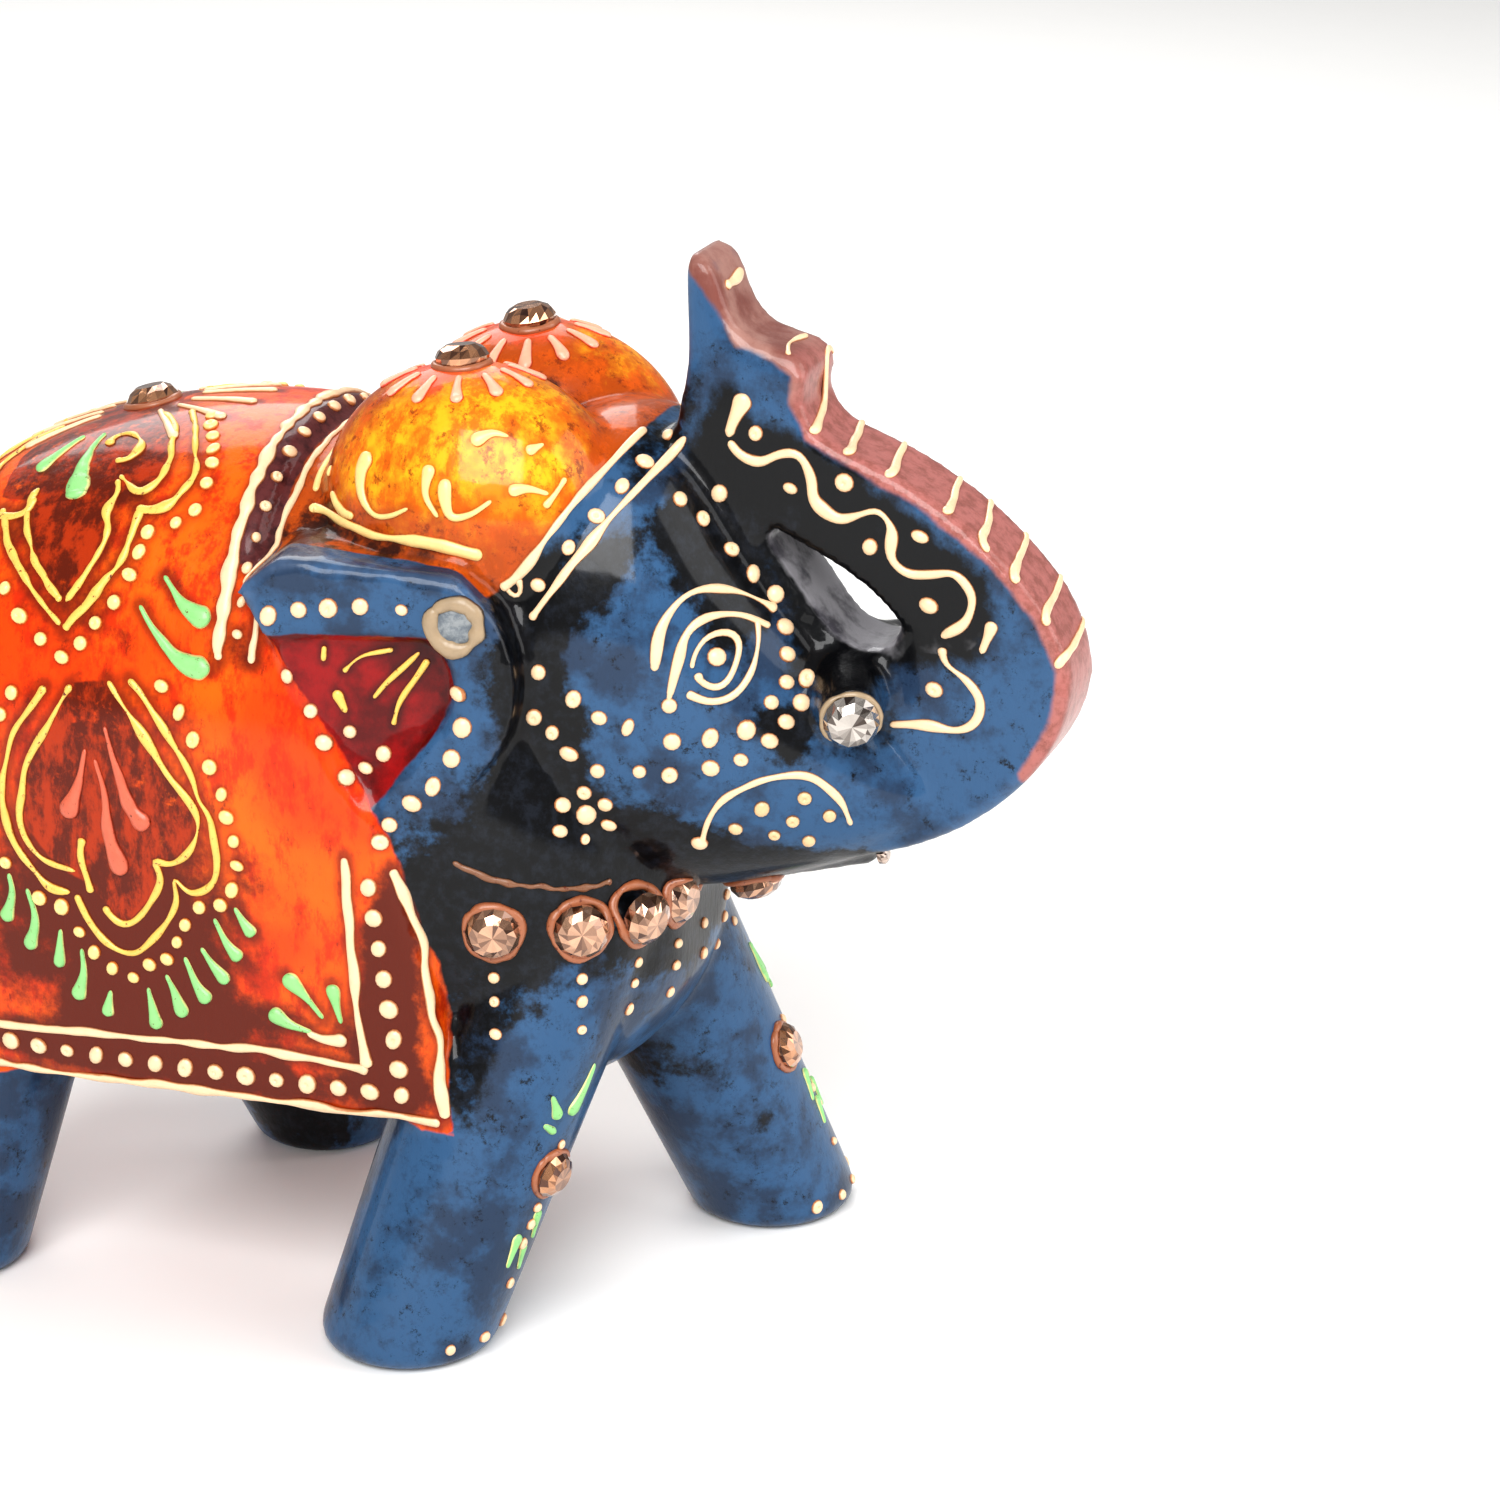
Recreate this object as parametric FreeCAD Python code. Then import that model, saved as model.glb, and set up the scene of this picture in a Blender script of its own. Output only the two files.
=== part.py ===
"""Carved wooden elephant, walking, with its trunk raised and curled back to its forehead.

Millimetres. +X is the way it walks, +Y is its left, +Z is up. The origin is on the ground
under the middle of its length and width.
"""
import FreeCAD
import Part
import Mesh
import math
import os

V = FreeCAD.Vector

# ---- driving dimensions -------------------------------------------------------------
FRONT_X = 57.0              # front of the trunk's curl; the rump is as far behind the origin
TORSO_CURVE = 2.3           # exponent of the torso's rounded sections (2 is an ellipse)
CLOTH_RELIEF = 1.4          # how far the carved saddle cloth stands off the body
CLOTH_FOOT_Z = 23.0         # height of the cloth's lower edge
FRONT_FOOT_RADIUS = 8.3
HIND_FOOT_RADIUS = 7.6
FRONT_LEG_X = 11.0          # middle of the front feet, between the strides
HIND_LEG_X = -37.1
STRIDE = 11.2               # each foot is this far behind or ahead of that middle
FOOT_SPREAD = 19.6          # each foot's centre from the middle plane
FOOT_ROUNDING = 1.6         # worn lower edge of each foot
EAR_HINGE_Y = 20.0          # face of each ear's front rim from the middle plane
EAR_FLARE = 10.0            # degrees that the ears stand out towards the back
EAR_HOLLOW = 1.9            # depth of the hollow behind the rim
DOME_OFFSET = 8.0           # each head dome's centre from the middle plane
STONE_RADIUS = 2.35         # glued stones on domes, tusks and necklace
STONE_SINK = 0.5            # how far each stone's back is let into its bed
EAR_STONE_RADIUS = 1.9
LEG_STONE_RADIUS = 2.1
LIP_STONE_RADIUS = 0.95
PASTE_RADIUS = 0.45         # half the width of a raised line of paste
PASTE_LIFT = 0.12           # how far a line's middle is above the wood
TAIL_RADIUS = 0.28          # thin end of a drop of paste
DOT_RADIUS = 0.85           # a dot of paste
SECTION_POINTS = 20         # points round each carved section
BACK_MIDDLE_Z = 50.0        # turns down the side of the back are measured about this height

# torso sections: x, half width, top, bottom
TORSO = [
    (-FRONT_X, 5.0, 58.0, 45.0),
    (-55.5, 12.5, 65.5, 35.0),
    (-50.5, 18.0, 71.0, 26.5),
    (-42.0, 21.0, 76.3, 21.5),
    (-30.0, 22.0, 80.0, 19.5),
    (-17.0, 22.0, 81.2, 19.5),
    (-5.0, 21.7, 79.5, 19.5),
    (5.0, 21.0, 74.5, 20.0),
    (13.0, 18.3, 65.0, 22.0),
    (19.0, 12.8, 55.0, 27.0),
    (22.0, 6.0, 47.0, 34.0),
]

# head sections: x, half width, top, bottom
HEAD = [
    (0.0, 12.0, 76.0, 48.0),
    (6.0, 15.3, 82.0, 44.0),
    (13.0, 16.2, 85.0, 41.8),
    (20.0, 15.0, 84.0, 41.3),
    (26.0, 12.8, 77.3, 42.0),
    (32.0, 10.6, 69.2, 43.8),
    (38.0, 8.4, 62.5, 46.0),
    (43.0, 6.2, 57.5, 48.7),
    (46.5, 3.6, 55.0, 51.0),
]

def closed_curve(points):
    """One smooth closed wire through the points."""
    curve = Part.BSplineCurve()
    curve.interpolate(points, PeriodicFlag=True)
    return Part.Wire([curve.toShape()])


def carved_section(x, half_width, top, bottom, exponent):
    """A rounded section across the body at x: |y/a|^n + |z/b|^n = 1 about its own middle."""
    middle = (top + bottom) / 2
    half_height = (top - bottom) / 2
    points = []
    for step in range(SECTION_POINTS):
        turn = 2 * math.pi * step / SECTION_POINTS
        across = math.copysign(abs(math.cos(turn)) ** (2 / exponent), math.cos(turn))
        upward = math.copysign(abs(math.sin(turn)) ** (2 / exponent), math.sin(turn))
        points.append(V(x, half_width * across, middle + half_height * upward))
    return closed_curve(points)


def carved_loft(stations, exponent, proud=0.0):
    """A smooth solid through rounded sections; proud makes every section that much larger."""
    wires = [carved_section(x, half_width + proud, top + proud, bottom - proud, exponent)
             for x, half_width, top, bottom in stations]
    return Part.makeLoft(wires, True, False)


def ellipsoid(centre, radii):
    """A ball of radius 1 stretched to three radii about its centre."""
    stretch = FreeCAD.Matrix()
    stretch.scale(*radii)
    ball = Part.makeSphere(1.0).transformGeometry(stretch)
    ball.translate(centre)
    return ball


def side_face(outline, y):
    """A flat face in side view at one y, bounded by a smooth closed curve through (x, z)."""
    return Part.Face(closed_curve([V(x, y, z) for x, z in outline]))


def leg(foot, shoulder, foot_radius, shoulder_radius):
    """A round leg that leans from its shoulder, inside the body, to its flat foot."""
    middle = (foot + shoulder) * 0.5
    wires = [
        Part.Wire(Part.makeCircle(foot_radius, foot)),
        Part.Wire(Part.makeCircle((foot_radius * 1.02 + shoulder_radius * 0.98) / 2, middle)),
        Part.Wire(Part.makeCircle(shoulder_radius, shoulder)),
    ]
    shaft = Part.makeLoft(wires, True, False)
    foot_edges = [edge for edge in shaft.Edges if edge.BoundBox.ZMax < foot.z + 0.1]
    return shaft.makeFillet(FOOT_ROUNDING, foot_edges)


def legs():
    """Four legs in stride: on the right side the feet are set back, on the left forward."""
    solids = []
    for side in (-1, 1):
        step = STRIDE * side
        foot = V(FRONT_LEG_X + step, side * FOOT_SPREAD, 0)
        shoulder = V(FRONT_LEG_X - 1.0 - 0.2 * step, side * 8.0, 42)
        solids.append(leg(foot, shoulder, FRONT_FOOT_RADIUS, 9.8))
        foot = V(HIND_LEG_X + step, side * FOOT_SPREAD, 0)
        hip = V(HIND_LEG_X - 3.5 + 0.1 * step, side * 9.0, 42)
        solids.append(leg(foot, hip, HIND_FOOT_RADIUS, 10.5))
    return solids


def trunk():
    """The curled trunk, a slab cut to its side and front outlines, and the slot in its curl."""
    outer = [
        (28.0, 46.5), (40.0, 47.3), (46.5, 50.0), (52.2, 54.4), (56.1, 60.0), (FRONT_X, 66.0),
        (54.6, 71.3), (50.6, 75.8), (44.5, 80.3), (37.5, 83.6), (33.9, 85.4), (32.7, 88.0),
        (32.9, 90.8), (30.0, 92.3), (27.3, 93.2), (25.2, 96.4), (23.4, 99.6), (22.3, 99.9),
        (21.8, 97.5), (22.0, 90.0), (20.5, 83.0), (16.0, 72.0), (20.0, 55.0),
    ]
    slot = [
        (28.9, 77.2), (35.0, 74.1), (40.0, 70.9), (41.7, 68.4), (40.4, 66.5), (37.5, 66.2),
        (34.9, 68.4), (31.3, 72.8),
    ]
    half_widths = [(20.0, 4.9), (58.0, 4.9), (66.0, 4.2), (76.0, 4.7), (86.0, 4.6), (101.0, 3.6)]
    right = [V(0, -half, z) for z, half in half_widths]
    left = [V(0, half, z) for z, half in reversed(half_widths)]
    front = Part.Face(Part.makePolygon(right + left + right[:1])).extrude(V(80, 0, 0))
    slab = side_face(outer, -20).extrude(V(0, 40, 0)).common(front)
    cut = side_face(slot, -20).extrude(V(0, 40, 0))
    return slab, cut


def ear(side):
    """A fan-shaped ear: straight back edge, raised rim on its top and front, hollow inside."""
    outline = fan([(-12.4, 72.2), (-8.5, 75.2), (7.0, 74.2), (12.2, 64.5), (9.0, 56.3),
                   (2.4, 47.9), (0.6, 48.0)])
    hollow = fan([(-15.0, 66.8), (-6.0, 68.2), (4.6, 68.6), (6.8, 64.2), (4.6, 59.5),
                  (-4.0, 49.0), (-6.0, 49.0)])
    plate = outline.extrude(V(0, 9.0, 0))
    hollow.translate(V(0, -5.0, 0))
    scoop = hollow.extrude(V(0, 5.0 + EAR_HOLLOW, 0))
    scoop.rotate(V(7.0, 0, 60.0), V(0, 0, 1), 3.0)
    shape = plate.cut(scoop)
    shape.rotate(V(12.0, 0, 60.0), V(0, 0, 1), EAR_FLARE)
    shape.translate(V(0, -EAR_HINGE_Y, 0))
    if side > 0:
        shape = shape.mirror(V(0, 0, 0), V(0, 1, 0))
    return shape


def fan(corners):
    """A flat fan in side view: straight back and top edges, round front corner, small point.

    The corners are: back top, top start, top end, front of the round, end of the round and
    the two sides of the point.
    """
    back, top_start, top_end, front, round_end, point_front, point_back = [
        V(x, 0, z) for x, z in corners]
    edges = [
        Part.makeLine(back, top_start),
        Part.makeLine(top_start, top_end),
        Part.Arc(top_end, front, round_end).toShape(),
        Part.makeLine(round_end, point_front),
        Part.makeLine(point_front, point_back),
        Part.makeLine(point_back, back),
    ]
    return Part.Face(Part.Wire(edges))


def cloth_section(x, half_width, top):
    """A hanging section of cloth: half an oval over the back, then straight down each side."""
    middle = 50.0
    rise = top - middle
    arch = []
    for step in range(SECTION_POINTS // 2 + 1):
        turn = math.pi * step / (SECTION_POINTS // 2)
        across = math.copysign(abs(math.cos(turn)) ** (2 / TORSO_CURVE), math.cos(turn))
        upward = math.sin(turn) ** (2 / TORSO_CURVE)
        arch.append(V(x, half_width * across, middle + rise * upward))
    over = Part.BSplineCurve()
    over.interpolate(arch)
    low_left = V(x, half_width, CLOTH_FOOT_Z - 3.0)
    low_right = V(x, -half_width, CLOTH_FOOT_Z - 3.0)
    return Part.Wire([over.toShape(), Part.makeLine(arch[-1], low_right),
                      Part.makeLine(low_right, low_left), Part.makeLine(low_left, arch[0])])


def saddle_cloth():
    """The cloth, carved in relief: hanging sections, inside the cloth's outline."""
    wires = [cloth_section(x, half_width + CLOTH_RELIEF, top + CLOTH_RELIEF)
             for x, half_width, top, bottom in TORSO if half_width > 15]
    outline = [V(-50.5, 0, 95), V(-50.5, 0, CLOTH_FOOT_Z - 1.0), V(5.9, 0, CLOTH_FOOT_Z + 0.6),
               V(4.2, 0, 38), V(0.6, 0, 50), V(-13.4, 0, 72), V(-13.2, 0, 95)]
    face = Part.Face(Part.makePolygon(outline + outline[:1]))
    face.translate(V(0, -40, 0))
    return Part.makeLoft(wires, True, False).common(face.extrude(V(0, 80, 0)))


def tusk_axis(side):
    """The middle of a tusk stub's end and the way that it points."""
    return V(39.6, side * 10.6, 62.0), V(0.35, side * 0.88, -0.1).normalize()


def carved_block():
    """All that is one block of wood."""
    torso = carved_loft(TORSO, TORSO_CURVE)
    slab, slot = trunk()
    pieces = [saddle_cloth(), carved_loft(HEAD, 2.25), slab] + legs()
    for side in (-1, 1):
        pieces.append(ellipsoid(V(3.8, side * DOME_OFFSET, 77.0), (14.0, 9.8, 12.8)))
        pieces.append(ear(side))
        end, way = tusk_axis(side)
        pieces.append(Part.makeCone(3.4, 2.7, 7.0, end - way * 7.0, way))
    lip = Part.makeCone(3.0, 0.9, 14.5, V(24.5, 0, 44.0), V(1, 0, 0.12))
    tail = ellipsoid(V(-FRONT_X + 2.2, 0, 46.0), (2.2, 2.2, 17.0))
    block = torso
    for piece in pieces + [lip, tail]:
        block = block.fuse(piece)
    return block.cut(slot)


# ---- what is glued and laid on the wood ----------------------------------------------
class Surface:
    """The carved block's surface, for finding where a glued or painted piece sits on it."""

    def __init__(self, block):
        self.mesh = Mesh.Mesh(block.tessellate(0.08))

    def touch(self, start, way):
        """The first point of the wood from start along way, and the wood's normal there."""
        hits = self.mesh.nearestFacetOnRay(tuple(start), tuple(way))
        index, point = next(iter(hits.items()))
        return V(*point), V(*self.mesh.Facets[index].Normal)

    def side(self, side, x, z):
        """Touch the right (-1) or left (1) side at a side-view place."""
        return self.touch(V(x, side * 45, z), V(0, -side, 0))

    def top(self, x, y):
        """Touch from above."""
        return self.touch(V(x, y, 130), V(0, 0, -1))

    def back(self, side, x, turn):
        """Touch the back at a turn in degrees down the right (-1) or left (1) from its ridge."""
        out = V(0, side * math.sin(math.radians(turn)), math.cos(math.radians(turn)))
        return self.touch(V(x, 0, BACK_MIDDLE_Z) + out * 60, out * -1)

    def chest(self, turn, z):
        """Touch the chest from outside, at a turn in degrees from straight ahead."""
        way = V(math.cos(math.radians(turn)), math.sin(math.radians(turn)), 0)
        return self.touch(V(0, 0, z) + way * 60, way * -1)

    def front(self, y, z):
        """Touch the front legs from ahead."""
        return self.touch(V(60, y, z), V(-1, 0, 0))


def gem(seat, radius):
    """A cut stone: a round girdle, a slanting crown and a flat table, let in by STONE_SINK."""
    point, normal = seat
    base = point - normal * STONE_SINK
    girdle = Part.makeCylinder(radius, 0.45 * radius, base, normal)
    crown = Part.makeCone(radius, 0.55 * radius, 0.45 * radius, base + normal * 0.45 * radius, normal)
    return girdle.fuse(crown)


def ring(seat, radius, thickness=PASTE_RADIUS):
    """A ring of paste that lies round a stone."""
    point, normal = seat
    return Part.makeTorus(radius + 0.7 * thickness, thickness, point + normal * 0.1, normal)


def dot(seat, radius=DOT_RADIUS):
    """A low round drop of paste: the cap of a ball whose height is half its radius."""
    point, normal = seat
    height = radius * 0.5
    ball = (radius ** 2 + height ** 2) / (2 * height)
    latitude = math.degrees(math.asin((ball - height) / ball))
    sunk = point - normal * (ball - height + 0.15)
    return Part.makeSphere(ball, sunk, normal, latitude, 90, 360)


def bead(seats, radii=()):
    """A line of paste: an eight-sided bead along the seats, half of it standing off the wood.

    It is as thick as the radii say, one for each seat, or else evenly PASTE_RADIUS.
    """
    points = [point + normal * PASTE_LIFT for point, normal in seats]
    radii = radii or [PASTE_RADIUS] * len(points)
    sections = []
    for i, point in enumerate(points):
        ahead = points[min(i + 1, len(points) - 1)] - points[max(i - 1, 0)]
        across = ahead.cross(seats[i][1]).normalize()
        upward = across.cross(ahead).normalize()
        corners = [point + (across * math.cos(turn) + upward * math.sin(turn)) * radii[i]
                   for turn in [math.radians(45 * k) for k in range(8)]]
        sections.append(Part.makePolygon(corners + corners[:1]))
    return Part.makeLoft(sections, True, True)


def drop(seats, head):
    """A drop of paste: a bead that widens from its thin tail to its head, and closes there."""
    last = len(seats) - 1
    radii = [TAIL_RADIUS + (head - TAIL_RADIUS) * (i / (last - 1)) ** 1.5 for i in range(last)]
    return bead(seats, radii + [0.55 * head])


def along(start, end, count):
    """Evenly spaced pairs from start to end, both included."""
    return [(start[0] + (end[0] - start[0]) * i / (count - 1),
             start[1] + (end[1] - start[1]) * i / (count - 1)) for i in range(count)]


def smooth(points, count):
    """Evenly spaced pairs along a smooth line through the given pairs."""
    curve = Part.BSplineCurve()
    curve.interpolate([V(x, z, 0) for x, z in points])
    return [(p.x, p.y) for p in curve.discretize(count)]


# side-view places (x, z), the same on both sides
TRUNK_WAVE = [(27.6, 88.0), (26.2, 84.3), (29.0, 82.4), (32.6, 83.4), (34.0, 80.0), (36.2, 78.1),
              (39.2, 79.2), (41.2, 77.2), (41.3, 74.6), (43.2, 73.4), (46.9, 74.0), (48.4, 72.0),
              (47.4, 69.4), (45.8, 67.6), (46.4, 65.6), (49.0, 63.2), (48.6, 61.0), (45.8, 60.2),
              (42.0, 60.0)]
TRUNK_DOTS = [(28.7, 84.9), (31.9, 80.3), (36.8, 81.3), (39.2, 75.8), (43.7, 77.2), (44.5, 71.0),
              (45.1, 63.4), (50.2, 69.4)]
BROW = [(22.4, 65.4), (23.0, 68.2), (23.9, 70.8), (25.6, 72.0), (28.0, 71.4), (30.3, 69.6)]
EYE_TOP = [(24.2, 62.9), (24.7, 66.0), (25.4, 68.6), (27.2, 69.8), (29.2, 69.0), (30.9, 68.2)]
EYE_LOW = [(30.2, 67.4), (30.9, 65.6), (30.4, 63.8), (29.0, 62.6), (27.0, 62.8), (25.6, 63.4)]
JAW_ARC = [(25.7, 48.9), (26.8, 51.5), (28.4, 53.7), (30.8, 55.3), (33.3, 55.9), (35.8, 55.6),
           (38.0, 53.6), (38.7, 51.0)]
JAW_DOTS = [(31.4, 52.7), (29.0, 50.6), (32.2, 50.0), (33.9, 51.5), (35.0, 53.8), (37.0, 52.1),
            (35.0, 49.4)]
CHEEK_DOTS = [(16.0, 62.8), (18.2, 61.2), (21.7, 59.5), (24.2, 59.1), (27.3, 59.4), (30.2, 60.1),
              (32.1, 59.1), (33.3, 60.7), (32.0, 62.4), (15.4, 57.6), (17.8, 56.1), (21.4, 56.2),
              (23.9, 55.9), (27.3, 56.6), (29.8, 57.4), (31.8, 68.0), (32.5, 66.0), (32.9, 63.9),
              (34.3, 64.0), (34.3, 62.6), (26.9, 74.4), (28.7, 72.4)]
ROSETTE_CENTRE = (16.4, 51.6)
EAR_RIM_DOTS = [(-9.1, 70.0), (-6.4, 70.7), (-3.8, 71.0), (-1.0, 71.3), (2.6, 71.2), (7.2, 63.8),
                (7.6, 60.8), (6.6, 57.9), (4.9, 55.2), (3.0, 53.5), (1.0, 51.4), (0.1, 49.9)]
EAR_INNER_DOTS = [(-8.4, 64.0), (-6.2, 61.1), (-4.9, 58.4), (-2.9, 55.4), (-2.9, 59.3),
                  (0.1, 57.5), (-1.5, 56.1)]
HEADBAND_DOTS = [(12.7, 73.0), (15.0, 75.7), (16.9, 78.2), (18.3, 80.2)]
CLOTH_CORNER = (1.7, 26.2)      # where the two rows of border dots meet
CLOTH_REAR_X = -47.5
MEDALLION_LINES = [
    [(-23.9, 62.2), (-19.4, 57.0), (-16.9, 51.9), (-15.4, 47.0), (-16.4, 43.8), (-19.0, 43.4)],
    [(-19.8, 41.6), (-21.6, 38.4), (-25.2, 36.4), (-28.2, 38.4), (-29.6, 41.0)],
    [(-32.0, 60.6), (-35.0, 56.0), (-36.9, 50.0), (-36.0, 45.7), (-32.8, 41.8)],
    [(-26.0, 61.8), (-20.4, 54.6), (-17.4, 50.0), (-18.4, 46.4), (-21.2, 45.4)],
    [(-21.4, 43.4), (-22.8, 40.4), (-24.9, 39.0), (-27.0, 40.6)],
    [(-29.3, 61.1), (-33.9, 53.2), (-34.9, 47.8), (-32.4, 44.4), (-29.4, 43.5)],
]
MEDALLION_DOTS = [(-20.5, 61.8), (-18.7, 59.7), (-17.3, 57.4), (-15.7, 55.1), (-14.6, 52.7),
                  (-14.2, 50.6), (-13.6, 48.4), (-13.4, 46.1), (-14.0, 43.7), (-15.2, 42.1),
                  (-17.3, 41.6), (-18.8, 39.7), (-19.7, 37.9), (-20.8, 36.1), (-22.6, 35.3),
                  (-24.3, 33.8), (-26.4, 34.4), (-28.2, 35.7), (-29.6, 37.5), (-31.3, 39.7),
                  (-33.6, 40.2), (-37.0, 43.1), (-35.6, 59.4), (-36.8, 57.3)]
MEDALLION_PETALS = [[(-28.0, 55.4), (-28.8, 52.0), (-30.3, 48.4)],
                    [(-27.2, 54.6), (-26.0, 48.6), (-24.9, 43.6)],
                    [(-25.8, 57.6), (-24.0, 51.8), (-22.0, 48.4)]]
FRINGE = [[(-13.9, 42.1), (-12.1, 39.4)], [(-15.9, 40.8), (-13.4, 36.9)], [(-17.4, 37.8), (-14.8, 34.5)],
          [(-19.1, 36.7), (-16.7, 32.3)], [(-21.0, 34.7), (-19.2, 30.5)], [(-22.9, 33.1), (-22.2, 28.9)],
          [(-26.7, 32.3), (-27.2, 29.4)], [(-29.5, 36.0), (-30.3, 30.7)], [(-31.6, 37.6), (-31.9, 33.6)],
          [(-34.9, 41.0), (-35.1, 34.8)], [(-36.8, 42.2), (-37.5, 37.2)]]
CORNER_LEAVES = [[(-5.5, 32.3), (-9.3, 36.3)], [(-3.9, 32.0), (-4.6, 36.0)], [(-6.6, 30.8), (-10.9, 32.5)]]
COMMAS = [[(-21.4, 71.0), (-19.6, 69.2), (-16.2, 67.7)], [(-23.5, 68.5), (-19.5, 64.6), (-15.8, 63.7)]]
DOME_STROKES = [
    [(-2.8, 83.2), (-3.6, 81.6), (-3.2, 79.2), (-1.6, 78.0), (1.4, 79.0)],
    [(3.4, 83.2), (3.4, 80.8), (4.2, 78.6)],
    [(5.6, 82.3), (5.9, 80.0), (7.2, 79.0), (9.1, 80.3)],
    [(10.3, 81.0), (13.4, 80.5)],
]

# places on the back: x, and the turn in degrees down the side from the ridge
SADDLE_LINES = [
    [(-28.7, 8), (-25.6, 15), (-24.3, 22), (-25.8, 28)],
    [(-25.8, 8), (-22.8, 17), (-21.5, 25), (-24.4, 32)],
    [(-28.3, 31), (-28.1, 36), (-28.9, 43), (-30.4, 48)],
    [(-37.0, 28), (-36.0, 38), (-33.2, 45), (-31.7, 48)],
    [(-25.4, 36), (-25.9, 41), (-27.6, 47), (-30.2, 52.5)],
    [(-39.6, 34), (-37.2, 41), (-34.0, 48), (-31.4, 52.5)],
]
SADDLE_DROP = [(-33.0, 14), (-33.2, 21), (-32.4, 30)]
SADDLE_DOTS = [(-23.1, 10), (-21.4, 16), (-20.0, 22), (-19.9, 31), (-23.9, 35.5), (-24.8, 43),
               (-27.5, 52), (-30.6, 59), (-37.4, 47), (-35.4, 52), (-32.9, 56)]
BACK_STONE_X = -32.0
DOME_STONE = (2.6, 7.6)         # x and distance from the middle plane
EAR_STONE = (7.2, 70.0)         # x and z

# places on the front legs seen from ahead: distance from the middle plane, z
LEG_LEAVES = [[(15.6, 24.4), (14.2, 27.2)], [(17.4, 21.8), (17.6, 24.8)], [(18.6, 11.0), (17.4, 14.2)],
              [(19.6, 9.2), (20.2, 12.2)]]
LEG_STONES = [(-17.0, 17.6), (14.6, 18.6)]      # the right and the left, y and z
NECKLACE_WAVE = [(72, 48.0), (62, 46.5), (52, 45.7), (42, 45.2), (34, 45.2)]    # turn, z


def stones(wood):
    """Named groups of glued stones, with the seat and radius of each."""
    groups = {
        "dome_stones": [(wood.top(DOME_STONE[0], side * DOME_STONE[1]), STONE_RADIUS)
                        for side in (-1, 1)],
        "back_stone": [(wood.top(BACK_STONE_X, 0.0), STONE_RADIUS)],
        "lip_stone": [((V(39.1, 0, 45.7), V(0.98, 0, 0.2)), LIP_STONE_RADIUS)],
        "ear_stone_left": [(wood.side(1, *EAR_STONE), EAR_STONE_RADIUS)],
        "necklace_stones": [(wood.chest(turn, 41.6), STONE_RADIUS)
                            for turn in (-64, -45, -30, -16, 0, 16, 30, 45, 64)],
        "front_leg_stones": [(wood.front(y, z), LEG_STONE_RADIUS) for y, z in LEG_STONES],
        "tusk_stones": [],
    }
    for side in (-1, 1):
        end, way = tusk_axis(side)
        groups["tusk_stones"].append(((end, way), STONE_RADIUS))
    return groups


def paste_lines(wood):
    """Named groups of raised lines."""
    lines = {name: [] for name in (
        "cloth_border_lines", "side_medallion_lines", "saddle_lines", "neck_lines", "headband_lines",
        "eye_lines", "jaw_lines", "trunk_wave_lines", "trunk_stripes", "necklace_lines", "ear_rays",
        "dome_strokes")}
    corner_x, corner_z = CLOTH_CORNER
    for side in (-1, 1):
        def drawn(points, side=side):
            return bead([wood.side(side, x, z) for x, z in points])

        def drawn_smooth(points, count, side=side):
            return bead([wood.side(side, x, z) for x, z in smooth(points, count)])
        for inset in (-2.2, 3.4):
            front = corner_x - inset
            foot = corner_z + (2.1 if inset > 0 else -2.3)
            rear = CLOTH_REAR_X + (inset if inset > 0 else inset * 0.7)
            lines["cloth_border_lines"] += [
                drawn(along((front - 2.6, 47.5), (front + 0.6, foot), 9)),
                drawn(along((front + 0.6, foot), (rear, foot), 24)),
                drawn(along((rear, foot), (rear, 58.0), 12)),
            ]
        lines["side_medallion_lines"] += [drawn_smooth(points, 16) for points in MEDALLION_LINES]
        lines["saddle_lines"] += [bead([wood.back(side, x, turn) for x, turn in smooth(points, 14)])
                                  for points in SADDLE_LINES]
        lines["eye_lines"] += [drawn_smooth(points, 12) for points in (BROW, EYE_TOP, EYE_LOW)]
        lines["jaw_lines"].append(drawn_smooth(JAW_ARC, 16))
        lines["trunk_wave_lines"].append(drawn_smooth(TRUNK_WAVE, 60))
        for end in ((-0.8, 62.2), (0.9, 60.6), (-3.0, 64.0)):
            lines["ear_rays"].append(drawn(along((2.4, 65.6), end, 3)))
        lines["headband_lines"] += [
            drawn_smooth([(9.4, 72.1), (11.3, 74.2), (14.2, 78.2), (16.4, 81.4)], 12),
            drawn_smooth([(12.0, 69.5), (14.5, 73.0), (17.4, 77.3), (19.8, 80.4)], 12),
        ]
        lines["dome_strokes"] += [drawn_smooth(points, 8) for points in DOME_STROKES]
        lines["necklace_lines"].append(
            bead([wood.chest(side * turn, z) for turn, z in smooth(NECKLACE_WAVE, 12)]))
    for x in (-15.2, -12.2):
        lines["neck_lines"].append(bead([wood.back(1, x, turn) for turn, _ in along((-52, 0), (52, 0), 25)]))
    for x in (33.9, 37.0, 40.8, 45.0):
        lines["trunk_stripes"].append(bead([wood.top(x, y) for y in (-3.6, -1.2, 1.2, 3.6)]))
    for z in (77.4, 74.8, 71.3, 67.6):
        lines["trunk_stripes"].append(bead([wood.front(y, z) for y in (-3.6, -1.2, 1.2, 3.6)]))
    return lines


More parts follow.
